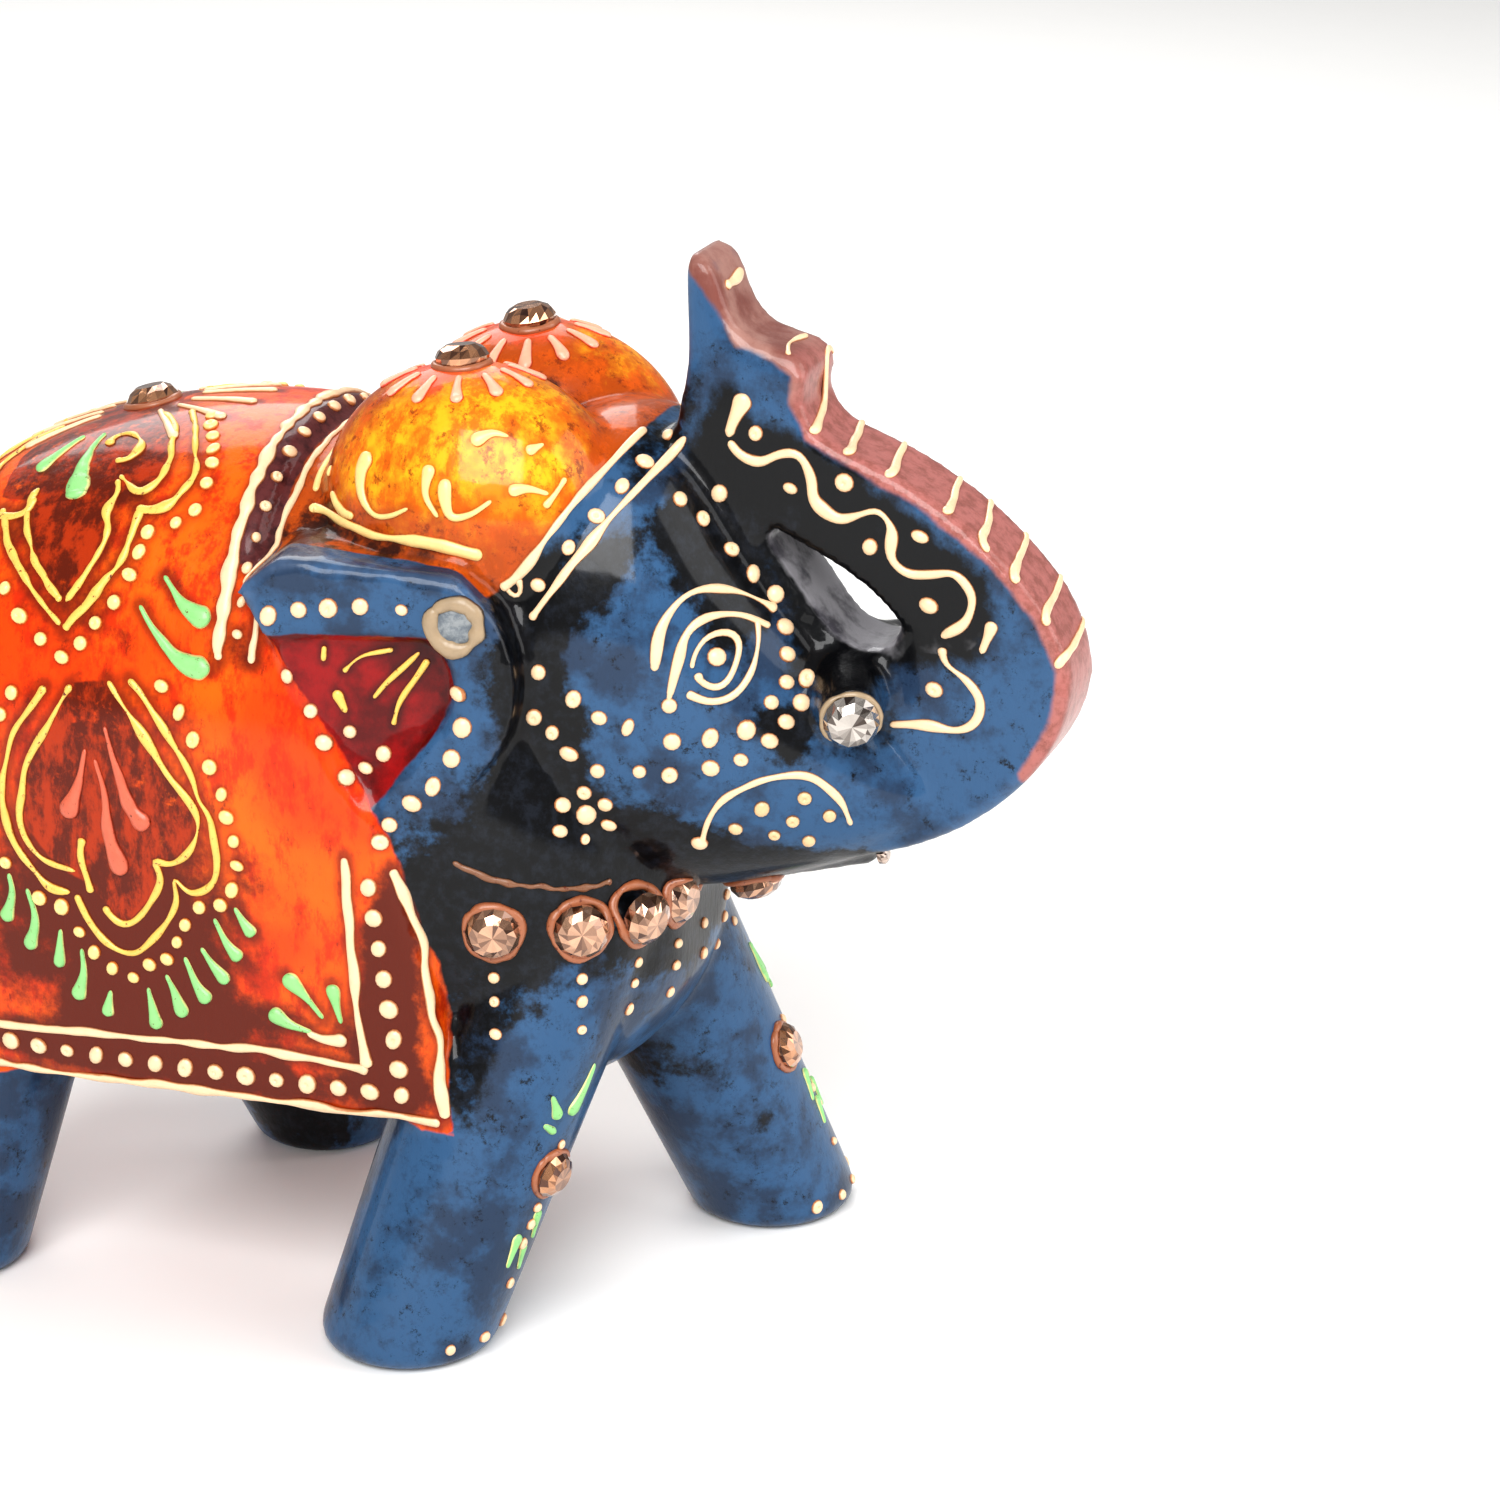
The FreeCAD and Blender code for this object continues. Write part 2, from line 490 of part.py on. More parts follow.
def paste_drops(wood):
    """Named groups of petals, leaves and drops, each from its thin tail to its head."""
    drops = {name: [] for name in (
        "medallion_petals", "cloth_drops", "saddle_drops", "dome_petals", "back_petals", "leg_leaves")}
    for side in (-1, 1):
        def petals(paths, head, side=side):
            return [drop([wood.side(side, x, z) for x, z in smooth(path, 7)], head) for path in paths]
        drops["medallion_petals"] += petals(MEDALLION_PETALS, 1.2)
        drops["cloth_drops"] += petals(FRINGE, 0.9) + petals(CORNER_LEAVES, 1.1) + petals(COMMAS, 1.3)
        drops["saddle_drops"].append(
            drop([wood.back(side, x, turn) for x, turn in smooth(SADDLE_DROP, 7)], 1.6))
        for turn in [math.radians(15 + 30 * i) for i in range(12)]:
            x, y = (DOME_STONE[0], side * DOME_STONE[1])
            reach = [3.6 + 0.75 * i for i in range(6)]
            petal = [wood.top(x + r * math.cos(turn), y + 0.82 * r * math.sin(turn)) for r in reach]
            drops["dome_petals"].append(drop(petal, 0.8))
        for turn in [math.radians(a) for a in (8, 30, 54, 150, 172)]:
            reach = [4.2 + 1.5 * i for i in range(6)]
            petal = [wood.top(BACK_STONE_X + r * math.cos(turn), side * (0.6 + 0.9 * r * math.sin(turn)))
                     for r in reach]
            drops["back_petals"].append(drop(petal, 0.55))
        drops["leg_leaves"] += [drop([wood.front(side * y, z) for y, z in smooth(path, 5)], 0.7)
                                for path in LEG_LEAVES]
    return drops


def paste_dots(wood):
    """Named groups of raised dots."""
    dots = {name: [] for name in (
        "cloth_border_dots", "ear_rim_dots", "ear_inner_dots", "cheek_dots", "rosette_dots",
        "jaw_dots", "trunk_dots", "headband_dots", "eye_dots", "neck_dots", "necklace_drops",
        "front_leg_dots", "toe_dots", "medallion_dots", "saddle_dots")}
    corner_x, corner_z = CLOTH_CORNER
    for side in (-1, 1):
        def row(points, radius=DOT_RADIUS, side=side):
            return [dot(wood.side(side, x, z), radius) for x, z in points]
        dots["cloth_border_dots"] += row(along((corner_x - 2.3, 45.5), (corner_x, 28.9), 7))
        dots["cloth_border_dots"] += row(along((corner_x, corner_z), (CLOTH_REAR_X, corner_z), 17))
        dots["cloth_border_dots"] += row(along((CLOTH_REAR_X, 29.2), (CLOTH_REAR_X, 56.0), 10))
        dots["ear_rim_dots"] += row(EAR_RIM_DOTS)
        dots["ear_inner_dots"] += row(EAR_INNER_DOTS, 0.7)
        dots["cheek_dots"] += row(CHEEK_DOTS, 0.8)
        around = [(ROSETTE_CENTRE[0] + 2.0 * math.cos(math.radians(a)),
                   ROSETTE_CENTRE[1] + 2.2 * math.sin(math.radians(a))) for a in range(30, 390, 60)]
        dots["rosette_dots"] += row([ROSETTE_CENTRE], 1.1) + row(around, 0.7)
        dots["jaw_dots"] += row(JAW_DOTS, 0.7)
        dots["trunk_dots"] += row(TRUNK_DOTS, 0.75)
        dots["headband_dots"] += row(HEADBAND_DOTS, 0.8)
        dots["eye_dots"] += row([(27.2, 66.8)], 0.75)
        dots["medallion_dots"] += row(MEDALLION_DOTS, 0.6)
        dots["saddle_dots"] += [dot(wood.back(side, x, turn), 0.65) for x, turn in SADDLE_DOTS]
        for turn in (64, 45, 30, 16):
            for z in (37.0, 34.6, 31.8):
                dots["necklace_drops"].append(dot(wood.chest(side * turn, z), 0.65))
        for z in (7.6, 5.6):
            dots["front_leg_dots"].append(dot(wood.front(side * 18.8, z), 0.6))
        for y in (-3.0, 0.0, 3.0):
            dots["toe_dots"].append(dot(wood.front(side * FOOT_SPREAD + y, 2.6), 0.75))
    for turn, _ in along((-49, 0), (49, 0), 15):
        dots["neck_dots"].append(dot(wood.back(1, -13.7, turn), 0.6))
    return dots


def export(name, shape):
    """One STEP file for one named piece."""
    shape.exportStep(os.path.join("parts", name + ".step"))


def main():
    os.makedirs("parts", exist_ok=True)
    block = carved_block()
    export("carved_block", block)
    wood = Surface(block)
    for name, seats in stones(wood).items():
        export(name, Part.Compound([gem(seat, radius) for seat, radius in seats]))
        if name != "lip_stone":
            rings = [ring(seat, radius) for seat, radius in seats]
            export(name.replace("stone", "ring"), Part.Compound(rings))
    point, normal = wood.side(-1, *EAR_STONE)
    bed_radius = EAR_STONE_RADIUS - 0.1
    export("ear_glue_bed_right", Part.makeCylinder(bed_radius, 0.8, point - normal * STONE_SINK, normal))
    export("ear_ring_right", ring((point, normal), EAR_STONE_RADIUS))
    paste = {**paste_lines(wood), **paste_drops(wood), **paste_dots(wood)}
    for name, pieces in paste.items():
        for piece in pieces:
            if not piece.isValid() or piece.ShapeType != "Solid":
                print("check", name, piece.ShapeType, piece.isValid())
        export(name, Part.Compound(pieces))
    print("block", block.isValid(), len(block.Solids))


main()
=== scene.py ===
"""Looks of a carved wooden elephant: lacquered paint on wood, glued cut stones, and raised
lines, dots and drops of coloured paste.

The frame's carved block is softened and painted. Everything laid on it is cast onto the
finished wood, so that it sits where the wood is. Lengths are millimetres until a mesh is made.
"""
import math

import bpy
import numpy as np
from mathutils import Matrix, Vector
from mathutils.bvhtree import BVHTree


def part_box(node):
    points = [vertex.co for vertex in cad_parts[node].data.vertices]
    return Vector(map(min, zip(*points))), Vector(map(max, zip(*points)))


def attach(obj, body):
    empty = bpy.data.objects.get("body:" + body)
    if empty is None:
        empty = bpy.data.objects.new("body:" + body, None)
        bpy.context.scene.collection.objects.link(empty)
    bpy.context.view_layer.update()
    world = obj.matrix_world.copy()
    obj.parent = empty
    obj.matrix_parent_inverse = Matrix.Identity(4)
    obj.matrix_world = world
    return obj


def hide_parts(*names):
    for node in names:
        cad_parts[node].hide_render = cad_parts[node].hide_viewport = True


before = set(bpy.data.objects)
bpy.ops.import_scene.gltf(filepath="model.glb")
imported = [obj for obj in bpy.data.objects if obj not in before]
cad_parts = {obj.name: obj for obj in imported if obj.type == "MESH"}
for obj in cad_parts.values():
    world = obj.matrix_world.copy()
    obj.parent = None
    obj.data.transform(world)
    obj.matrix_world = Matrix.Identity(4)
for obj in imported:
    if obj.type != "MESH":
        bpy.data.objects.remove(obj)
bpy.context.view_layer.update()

bl_info = {
    "name": "Carved Wooden Elephant",
    "version": (1, 0, 0),
    "blender": (4, 5, 0),
    "location": "3D View > Sidebar > Elephant",
    "description": "Paints the carved elephant and lays its stones and paste work",
    "category": "Object",
}

MM = 0.001


# ---- settings ----------------------------------------------------------------------------
def rgb(red, green, blue):
    """A colour given as it looks on a screen, 0 to 255, as linear light."""
    screen = np.array((red, green, blue)) / 255
    linear = np.where(screen <= 0.04045, screen / 12.92, ((screen + 0.055) / 1.055) ** 2.4)
    return tuple(float(c) for c in linear)


def paint(name, description, colour):
    """A colour that a user may change."""
    return bpy.props.FloatVectorProperty(name=name, description=description, subtype="COLOR",
                                         size=3, min=0.0, max=1.0, default=rgb(*colour))


def length(name, description, default):
    """A length in millimetres that a user may change, kept in metres."""
    return bpy.props.FloatProperty(name=name, description=description, unit="LENGTH",
                                   default=default * MM, min=0.0, precision=5)


class ElephantStageSettings(bpy.types.PropertyGroup):
    """Where the camera stands and how strong the lights are."""

    azimuth: bpy.props.FloatProperty(
        name="Azimuth", description="Turn of the camera round the elephant",
        default=math.radians(20), subtype="ANGLE")
    elevation: bpy.props.FloatProperty(
        name="Elevation", description="Height of the camera above the horizon",
        default=math.radians(20), subtype="ANGLE")
    distance: length("Distance", "From the camera to the point that it looks at", 374.0)
    look_ahead: length("Look ahead", "How far forward the camera looks", 26.5)
    look_height: length("Look height", "How high the camera looks", 54.0)
    lens: bpy.props.FloatProperty(
        name="Lens", description="Focal length of the camera", default=99.89, min=10.0,
        subtype="DISTANCE_CAMERA")
    key_power: bpy.props.FloatProperty(
        name="Key light", description="Power of the large soft light", default=7.4, unit="POWER")
    fill_power: bpy.props.FloatProperty(
        name="Fill light", description="Power of the light on the far side", default=3.0, unit="POWER")
    sky: bpy.props.FloatProperty(
        name="Room light", description="Strength of the even light all round", default=0.3)
    floor: paint("Floor", "Colour of the floor", (243, 242, 240))


class ElephantWoodSettings(bpy.types.PropertyGroup):
    """How soft the carving is, and its paints."""

    grain: length("Carving grain", "Smallest step that the carved surface keeps", 0.62)
    softness: bpy.props.IntProperty(
        name="Softness", description="How often the sanded surface is evened out", default=8, min=0)
    blue: paint("Blue", "Main paint of the body", (50, 84, 119))
    slate: paint("Slate", "Thin, rubbed places of the body's paint", (38, 56, 80))
    # Black also paints the painted shade under the belly, chest and jaw and on the inner legs.
    black: paint("Black", "Wash rubbed into the hollows", (5, 6, 9))
    orange: paint("Orange", "Main paint of the cloth", (246, 98, 10))
    red: paint("Red", "Rubbed places of the cloth", (190, 40, 5))
    brown: paint("Brown", "Shading of the cloth and inside its ornaments", (92, 26, 5))
    maroon: paint("Maroon", "Paint inside the ears", (140, 12, 14))
    amber: paint("Amber", "Bright paint of the domes", (246, 168, 28))
    rust: paint("Rust", "Dark paint of the domes", (168, 72, 10))
    pink: paint("Pink", "Paint along the outside of the trunk", (166, 104, 98))
    plum: paint("Plum", "Band across the neck", (92, 44, 44))


class ElephantPasteSettings(bpy.types.PropertyGroup):
    """Sizes and colours of the raised paste."""

    line: length("Line", "Half the width of a line of paste", 0.39)
    dot: length("Dot", "Radius of a dot of paste", 0.82)
    rise: length("Rise", "How far a line as wide as two millimetres stands up", 0.5)
    wobble: bpy.props.FloatProperty(
        name="Wobble", description="How unevenly the paste is squeezed out", default=0.16,
        subtype="FACTOR", min=0.0, max=0.6)
    cream: paint("Cream", "Paste of the lines and dots", (238, 202, 162))
    yellow: paint("Yellow", "Paste of the ornaments on the cloth", (236, 190, 92))
    green: paint("Green", "Paste of the leaves and drops", (138, 202, 124))
    rose: paint("Rose", "Paste of the petals", (204, 98, 70))
    copper: paint("Copper", "Paste round the stones", (160, 98, 66))


class ElephantStoneSettings(bpy.types.PropertyGroup):
    """Cut and tint of the glued stones."""

    cuts: bpy.props.IntProperty(
        name="Cuts", description="Facets round a stone", default=16, min=8)
    clear: paint("Clear", "Tint of the clear stones", (214, 206, 198))
    smoke: paint("Smoke", "Dark facets of the stones", (58, 42, 32))
    glue: paint("Glue", "Dried glue where a stone is missing", (96, 104, 112))


# ---- materials ---------------------------------------------------------------------------
class Finish:
    """A material whose nodes are added and joined by short calls."""

    def __init__(self, name):
        self.material = bpy.data.materials.new(name)
        self.material.use_nodes = True
        self.tree = self.material.node_tree
        self.shader = self.tree.nodes["Principled BSDF"]
        self.place = self.node("ShaderNodeTexCoord").outputs["Object"]

    def node(self, kind, **values):
        made = self.tree.nodes.new(kind)
        for name, value in values.items():
            setattr(made, name, value)
        return made

    def feed(self, socket, value):
        """Join an output to the socket, or set the socket's own value."""
        if isinstance(value, bpy.types.NodeSocket):
            self.tree.links.new(value, socket)
        elif socket.type == "RGBA":
            socket.default_value = (*value[:3], 1.0)
        else:
            socket.default_value = value

    def set(self, **values):
        """Set the shader's inputs by name, with _ for a space."""
        for name, value in values.items():
            self.feed(self.shader.inputs[name.replace("_", " ")], value)

    def noise(self, size, detail=4.0, roughness=0.55, stretch=(1, 1, 1), offset=0.0):
        """Soft lumps about size millimetres across, 0 to 1 with its middle at 0.5."""
        mapping = self.node("ShaderNodeMapping")
        self.feed(mapping.inputs["Vector"], self.place)
        mapping.inputs["Scale"].default_value = stretch
        mapping.inputs["Location"].default_value = (offset * MM, 0, 0)
        lumps = self.node("ShaderNodeTexNoise")
        self.feed(lumps.inputs["Vector"], mapping.outputs["Vector"])
        self.feed(lumps.inputs["Scale"], 1 / (size * MM))
        self.feed(lumps.inputs["Detail"], detail)
        self.feed(lumps.inputs["Roughness"], roughness)
        return lumps.outputs["Fac"]

    def math(self, operation, first, second, clamp=False):
        made = self.node("ShaderNodeMath", operation=operation, use_clamp=clamp)
        self.feed(made.inputs[0], first)
        self.feed(made.inputs[1], second)
        return made.outputs["Value"]

    def step(self, value, low, high):
        """0 below low, 1 above high, and smooth between."""
        made = self.node("ShaderNodeMapRange", interpolation_type="SMOOTHSTEP")
        self.feed(made.inputs["Value"], value)
        self.feed(made.inputs["From Min"], low)
        self.feed(made.inputs["From Max"], high)
        return made.outputs["Result"]

    def blend(self, share, first, second):
        """The first colour where share is 0 and the second where it is 1."""
        made = self.node("ShaderNodeMix", data_type="RGBA")
        self.feed(made.inputs[0], share)
        self.feed(made.inputs[6], first)
        self.feed(made.inputs[7], second)
        return made.outputs[2]

    def attribute(self, name):
        return self.node("ShaderNodeAttribute", attribute_name=name).outputs["Fac"]

    def bump(self, height, distance, strength=1.0):
        """Raise the surface by height times distance millimetres."""
        made = self.node("ShaderNodeBump")
        self.feed(made.inputs["Height"], height)
        self.feed(made.inputs["Distance"], distance * MM)
        self.feed(made.inputs["Strength"], strength)
        self.feed(self.shader.inputs["Normal"], made.outputs["Normal"])


def lacquered_paint(wood):
    """The block's paints in their regions, rubbed with black, with painted shade and highlights, varnished.
    """
    f = Finish("lacquered_paint")
    edge = f.math("MULTIPLY", f.math("SUBTRACT", f.noise(2.6, 3.0), 0.5), 0.9)
    blotch = f.noise(7.0, 6.0, 0.62)
    fine = f.noise(1.3, 5.0, 0.7, offset=40)
    wide = f.noise(17.0, 3.0, 0.5, offset=90)

    def region(name, soft=0.16):
        """1 inside the painted region, with a hand-painted edge."""
        return f.step(f.math("ADD", f.attribute(name), edge), -soft, soft)

    def rubbed(name, size, offset, low, high):
        """How much of a patch shows: the painted-on amount broken up by lumps. The patches are black wash,
        paint, painted shade and painted highlight.
        """
        lumps = f.math("MULTIPLY", f.math("SUBTRACT", f.noise(size, 7.0, 0.68, offset=offset), 0.5), 1.7)
        return f.step(f.math("ADD", f.attribute(name), lumps), low, high)

    body = f.blend(f.step(blotch, 0.4, 0.56), wood.slate, wood.blue)
    body = f.blend(f.math("MULTIPLY", f.step(fine, 0.5, 0.72), 0.55), body, wood.slate)
    specks = f.step(f.noise(1.5, 9.0, 0.85, offset=13), 0.54, 0.64)
    body = f.blend(f.math("MULTIPLY", specks, f.step(wide, 0.36, 0.56)), body, wood.black)
    # Convex edges a lighter blue: partly edge wear and partly a painted highlight along the rims.
    body = f.blend(f.math("MULTIPLY", f.step(f.attribute("crevice"), -0.1, -0.26), 0.4), body,
                   rgb(104, 126, 158))
    trunk = f.blend(f.step(fine, 0.4, 0.65), wood.pink, rgb(138, 84, 76))
    trunk = f.blend(f.math("MULTIPLY", f.step(f.noise(1.0, 6.0, 0.8, (1, 3, 1)), 0.55, 0.7), 0.5),
                    trunk, rgb(96, 50, 48))
    trunk = f.blend(f.attribute("tip"), trunk, f.blend(f.step(blotch, 0.4, 0.62), rgb(156, 116, 106),
                                                       rgb(120, 72, 64)))
    body = f.blend(region("trunk_face", 0.3), body, trunk)
    night = f.math("ADD", f.attribute("night"),
                   f.math("MULTIPLY", f.math("SUBTRACT", f.noise(3.2, 7.0, 0.7), 0.5), 5.0))
    body = f.blend(f.math("MULTIPLY", f.step(night, -0.9, 0.9),
                          f.math("SUBTRACT", 1.0, region("trunk_face", 0.3))), body, wood.black)
    bare_wood = f.blend(f.step(blotch, 0.45, 0.62), rgb(150, 148, 152), rgb(74, 72, 78))
    body = f.blend(f.math("MULTIPLY", region("bare", 0.3), 0.9), body, bare_wood)
    # Black patches from the dark list: partly black wash, partly painted shade under the belly, chest and
    # jaw, beside the ears and on the inner legs.
    wash_and_shade_black = f.blend(f.step(fine, 0.42, 0.7), wood.black, rgb(24, 28, 36))
    body = f.blend(rubbed("dark", 4.0, 7, 0.3, 0.6), body, wash_and_shade_black)

    streaks = f.noise(2.4, 7.0, 0.72, (1, 1, 0.45), offset=21)
    cloth = f.blend(f.step(wide, 0.38, 0.62), wood.orange, rgb(228, 68, 6))
    cloth = f.blend(f.math("MULTIPLY", f.step(streaks, 0.46, 0.62), 0.85), cloth, wood.red)
    cloth = f.blend(f.math("MULTIPLY", f.step(f.noise(1.1, 9.0, 0.85, (1, 1, 0.5), 51), 0.55, 0.65), 0.7),
                    cloth, wood.brown)
    cloth = f.blend(rubbed("shade", 5.0, 33, 0.42, 0.95), cloth, wood.brown)
    cloth = f.blend(f.math("MULTIPLY", f.step(f.attribute("paste_gap"), 1.5, 0.35), 0.72), cloth,
                    wood.brown)
    cloth = f.blend(f.math("MULTIPLY", region("ornament"), f.step(fine, 0.25, 0.5)), cloth, wood.brown)
    cloth = f.blend(f.math("MULTIPLY", region("ornament"), f.step(streaks, 0.44, 0.6)), cloth,
                    rgb(164, 50, 8))

    # Amber on the domes' upper flanks where the glow patches lie: partly the domes' yellow paint, partly a
    # painted highlight; rust elsewhere.
    dome = f.blend(rubbed("glow", 4.5, 60, 0.25, 0.85), wood.rust, wood.amber)
    dome = f.blend(f.math("MULTIPLY", f.step(streaks, 0.46, 0.6), 0.8), dome, rgb(206, 88, 12))
    dome = f.blend(f.math("MULTIPLY", f.step(blotch, 0.48, 0.6), 0.55), dome, rgb(184, 76, 10))
    dome = f.blend(f.math("MULTIPLY", f.step(f.noise(1.6, 8.0, 0.8, offset=29), 0.53, 0.63), 0.8), dome,
                   rgb(112, 42, 8))
    dome = f.blend(f.math("MULTIPLY", f.step(f.attribute("paste_gap"), 0.9, 0.3), 0.4), dome,
                   rgb(150, 64, 10))
    dome = f.blend(rubbed("crown", 3.5, 75, 0.5, 1.0), dome, rgb(226, 84, 50))
    # Painted shade: darker brown at the domes' bases and in the valley between them.
    dome = f.blend(rubbed("dome_shade", 3.2, 47, 0.5, 0.8), dome, rgb(70, 26, 6))

    hollow = f.blend(f.step(blotch, 0.38, 0.6), wood.maroon, rgb(84, 6, 6))
    hollow = f.blend(f.math("MULTIPLY", f.step(f.attribute("paste_gap"), 0.9, 0.2), 0.6), hollow,
                     rgb(36, 4, 4))
    plum = f.blend(f.step(fine, 0.4, 0.7), wood.plum, rgb(60, 26, 28))
    strip = f.blend(f.step(blotch, 0.36, 0.5), wood.black, wood.blue)
    strip = f.blend(rubbed("dark", 3.0, 3, 0.3, 0.6), strip, wood.black)

    colour = f.blend(region("hollow"), body, hollow)
    colour = f.blend(region("cloth"), colour, cloth)
    colour = f.blend(region("collar"), colour, plum)
    colour = f.blend(region("dome"), colour, dome)
    colour = f.blend(region("strip"), colour, strip)
    # Near-black in the creases: painted shade, with the black wash that gathers there.
    hollows = f.step(f.math("ADD", f.attribute("crevice"), f.math("MULTIPLY", fine, 0.15)), 0.13, 0.3)
    colour = f.blend(f.math("MULTIPLY", hollows, 0.85), colour, rgb(10, 6, 8))
    f.set(Base_Color=colour, Specular_IOR_Level=0.12, Coat_Weight=0.4, Coat_Roughness=0.09, Coat_IOR=1.5)
    f.set(Roughness=f.math("ADD", f.math("MULTIPLY", blotch, 0.25), 0.26))
    strokes = f.math("ADD", f.math("MULTIPLY", f.noise(0.9, 5.0, 0.6, (1, 1, 0.35)), 0.5), blotch)
    f.bump(strokes, 0.22, 0.7)
    return f.material


def paste(name, crest, foot, flecks=0.0):
    """Dried paste: its own colour on top, darker where it meets the wood, with small flaws."""
    f = Finish(name)
    mottle = f.noise(1.1, 4.0, 0.6)
    top = f.blend(f.step(mottle, 0.38, 0.7), crest, tuple(0.9 * c for c in crest))
    rise = f.math("ADD", f.attribute("rise"), f.math("MULTIPLY", f.math("SUBTRACT", mottle, 0.5), 0.7))
    # The foot colour: on cream and yellow paste a darker tan, partly dirt at the foot and partly painted
    # shade on the bead's sides under a lighter crest; on green and rose paste a cream under-layer.
    colour = f.blend(f.step(rise, 0.1, 0.55), foot, top)
    if flecks:
        worn = f.step(f.noise(0.55, 5.0, 0.75, offset=5), 0.66 - flecks, 0.7 - flecks)
        colour = f.blend(worn, colour, rgb(96, 34, 12))
    f.set(Base_Color=colour, Roughness=0.42, Coat_Weight=0.35, Coat_Roughness=0.2, Coat_IOR=1.45)
    f.set(Subsurface_Weight=0.0, Specular_IOR_Level=0.5)
    f.bump(f.noise(0.5, 4.0, 0.6, offset=11), 0.06, 0.6)
    return f.material


def foiled_crystal(stone, name, warm):
    """A cut stone with foil behind it: each facet's colour, brighter or darker at random, is a painted
    reflection.

    The warmer a stone is, the more of its tint is a painted reflection of the copper paste around it.
    """
    f = Finish(name)
    clear = np.array(stone.clear) * (1 - warm) + np.array(rgb(222, 158, 112)) * warm
    smoke = np.array(stone.smoke) * (1 - warm) + np.array(rgb(70, 28, 14)) * warm
    colour = f.blend(f.attribute("facet"), tuple(smoke), tuple(clear))
    f.set(Base_Color=colour, Metallic=0.82, Roughness=0.09, Coat_Weight=1.0, Coat_Roughness=0.02,
          Coat_IOR=1.55)
    f.bump(f.noise(1.4, 2.0), 0.05, 0.4)
    return f.material


def dried_glue(stone):
    """Matt grey glue with a print of the lost stone's foil."""
    f = Finish("dried_glue")
    mottle = f.noise(1.2, 6.0, 0.7)
    f.set(Base_Color=f.blend(f.step(mottle, 0.4, 0.62), stone.glue, rgb(138, 142, 144)), Roughness=0.5)
    f.bump(mottle, 0.25, 0.8)
    return f.material


# ---- surfaces ----------------------------------------------------------------------------
def unit(vectors):
    """Each vector made one long."""
    return vectors / np.maximum(np.linalg.norm(vectors, axis=-1, keepdims=True), 1e-9)


def smooth_line(corners, step):
    """Evenly spaced points on a smooth curve that passes through the corners.

    Between two corners the curve is the cubic whose slopes at its ends are half the step
    from the corner before to the corner after (a Catmull-Rom curve).
    """
    corners = np.asarray(corners, float)
    padded = np.vstack([2 * corners[0] - corners[1], corners, 2 * corners[-1] - corners[-2]])
    p0, p1, p2, p3 = (padded[i:len(padded) - 3 + i, None] for i in range(4))
    t = np.linspace(0, 1, 24, endpoint=False)[None, :, None]
    curve = 0.5 * (2 * p1 + (p2 - p0) * t + (2 * p0 - 5 * p1 + 4 * p2 - p3) * t ** 2
                   + (3 * p1 - p0 - 3 * p2 + p3) * t ** 3)
    curve = np.vstack([curve.reshape(-1, corners.shape[1]), corners[-1:]])
    run = np.concatenate([[0], np.cumsum(np.linalg.norm(np.diff(curve, axis=0), axis=1))])
    count = max(int(run[-1] / step) + 1, 4)
    places = np.linspace(0, run[-1], count)
    return np.stack([np.interp(places, run, column) for column in curve.T], axis=1)


def eased(values, times=1):
    """Values along a line, each replaced by the mean of itself and its neighbours."""
    for _ in range(times):
        padded = np.concatenate([values[:1], values, values[-1:]])
        values = (padded[:-2] + 2 * padded[1:-1] + padded[2:]) / 4
    return values


class Heap:
    """Closed shapes gathered for one mesh, with each point's share of its shape's height."""

    def __init__(self):
        self.points = []
        self.faces = []
        self.rises = []
        self.facets = []
        self.count = 0

    def add(self, rings, first, last, rise, facet=None):
        """Join rings of points into a tube, closed by a point at its first and last end.

        Rings run anticlockwise seen from the last end, so that the triangles face outwards.
        """
        length_, around = rings.shape[:2]
        i, j = np.meshgrid(np.arange(length_ - 1), np.arange(around), indexing="ij")
        k = (j + 1) % around
        a, b, c, d = (self.count + v for v in
                      (i * around + j, i * around + k, (i + 1) * around + k, (i + 1) * around + j))
        walls = np.concatenate([np.stack([a, b, c], -1).reshape(-1, 3),
                                np.stack([a, c, d], -1).reshape(-1, 3)])
        edge = np.arange(around)
        turned = (edge + 1) % around
        start = self.count + length_ * around
        first_fan = np.stack([np.full(around, start), self.count + turned, self.count + edge], -1)
        end_ring = self.count + (length_ - 1) * around
        last_fan = np.stack([np.full(around, start + 1), end_ring + edge, end_ring + turned], -1)
        self.points.append(np.vstack([rings.reshape(-1, 3), first, last]))
        self.faces.append(np.vstack([walls, first_fan, last_fan]))
        self.rises.append(np.append(np.ravel(rise), [0.0, np.ravel(rise)[-1]]))
        if facet is not None:
            self.facets.append(facet(len(self.faces[-1])))
        self.count += length_ * around + 2

    def piece(self, name, material, slot, nodes=(), smooth=True):
        """Make the mesh object, ride it on the body and let it stand for the CAD nodes."""
        mesh = bpy.data.meshes.new(name)
        points = np.vstack(self.points) * MM
        mesh.from_pydata(points.tolist(), [], np.vstack(self.faces).tolist())
        mesh.attributes.new("rise", "FLOAT", "POINT").data.foreach_set(
            "value", np.concatenate(self.rises).astype(np.float32))
        if self.facets:
            mesh.attributes.new("facet", "FLOAT", "FACE").data.foreach_set(
                "value", np.concatenate(self.facets).astype(np.float32))
        mesh.polygons.foreach_set("use_smooth", np.full(len(mesh.polygons), smooth))
        mesh.materials.append(material)
        made = bpy.data.objects.new(name, mesh)
        bpy.context.scene.collection.objects.link(made)
        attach(made, "root")
        if nodes:
            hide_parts(*nodes)
        return made


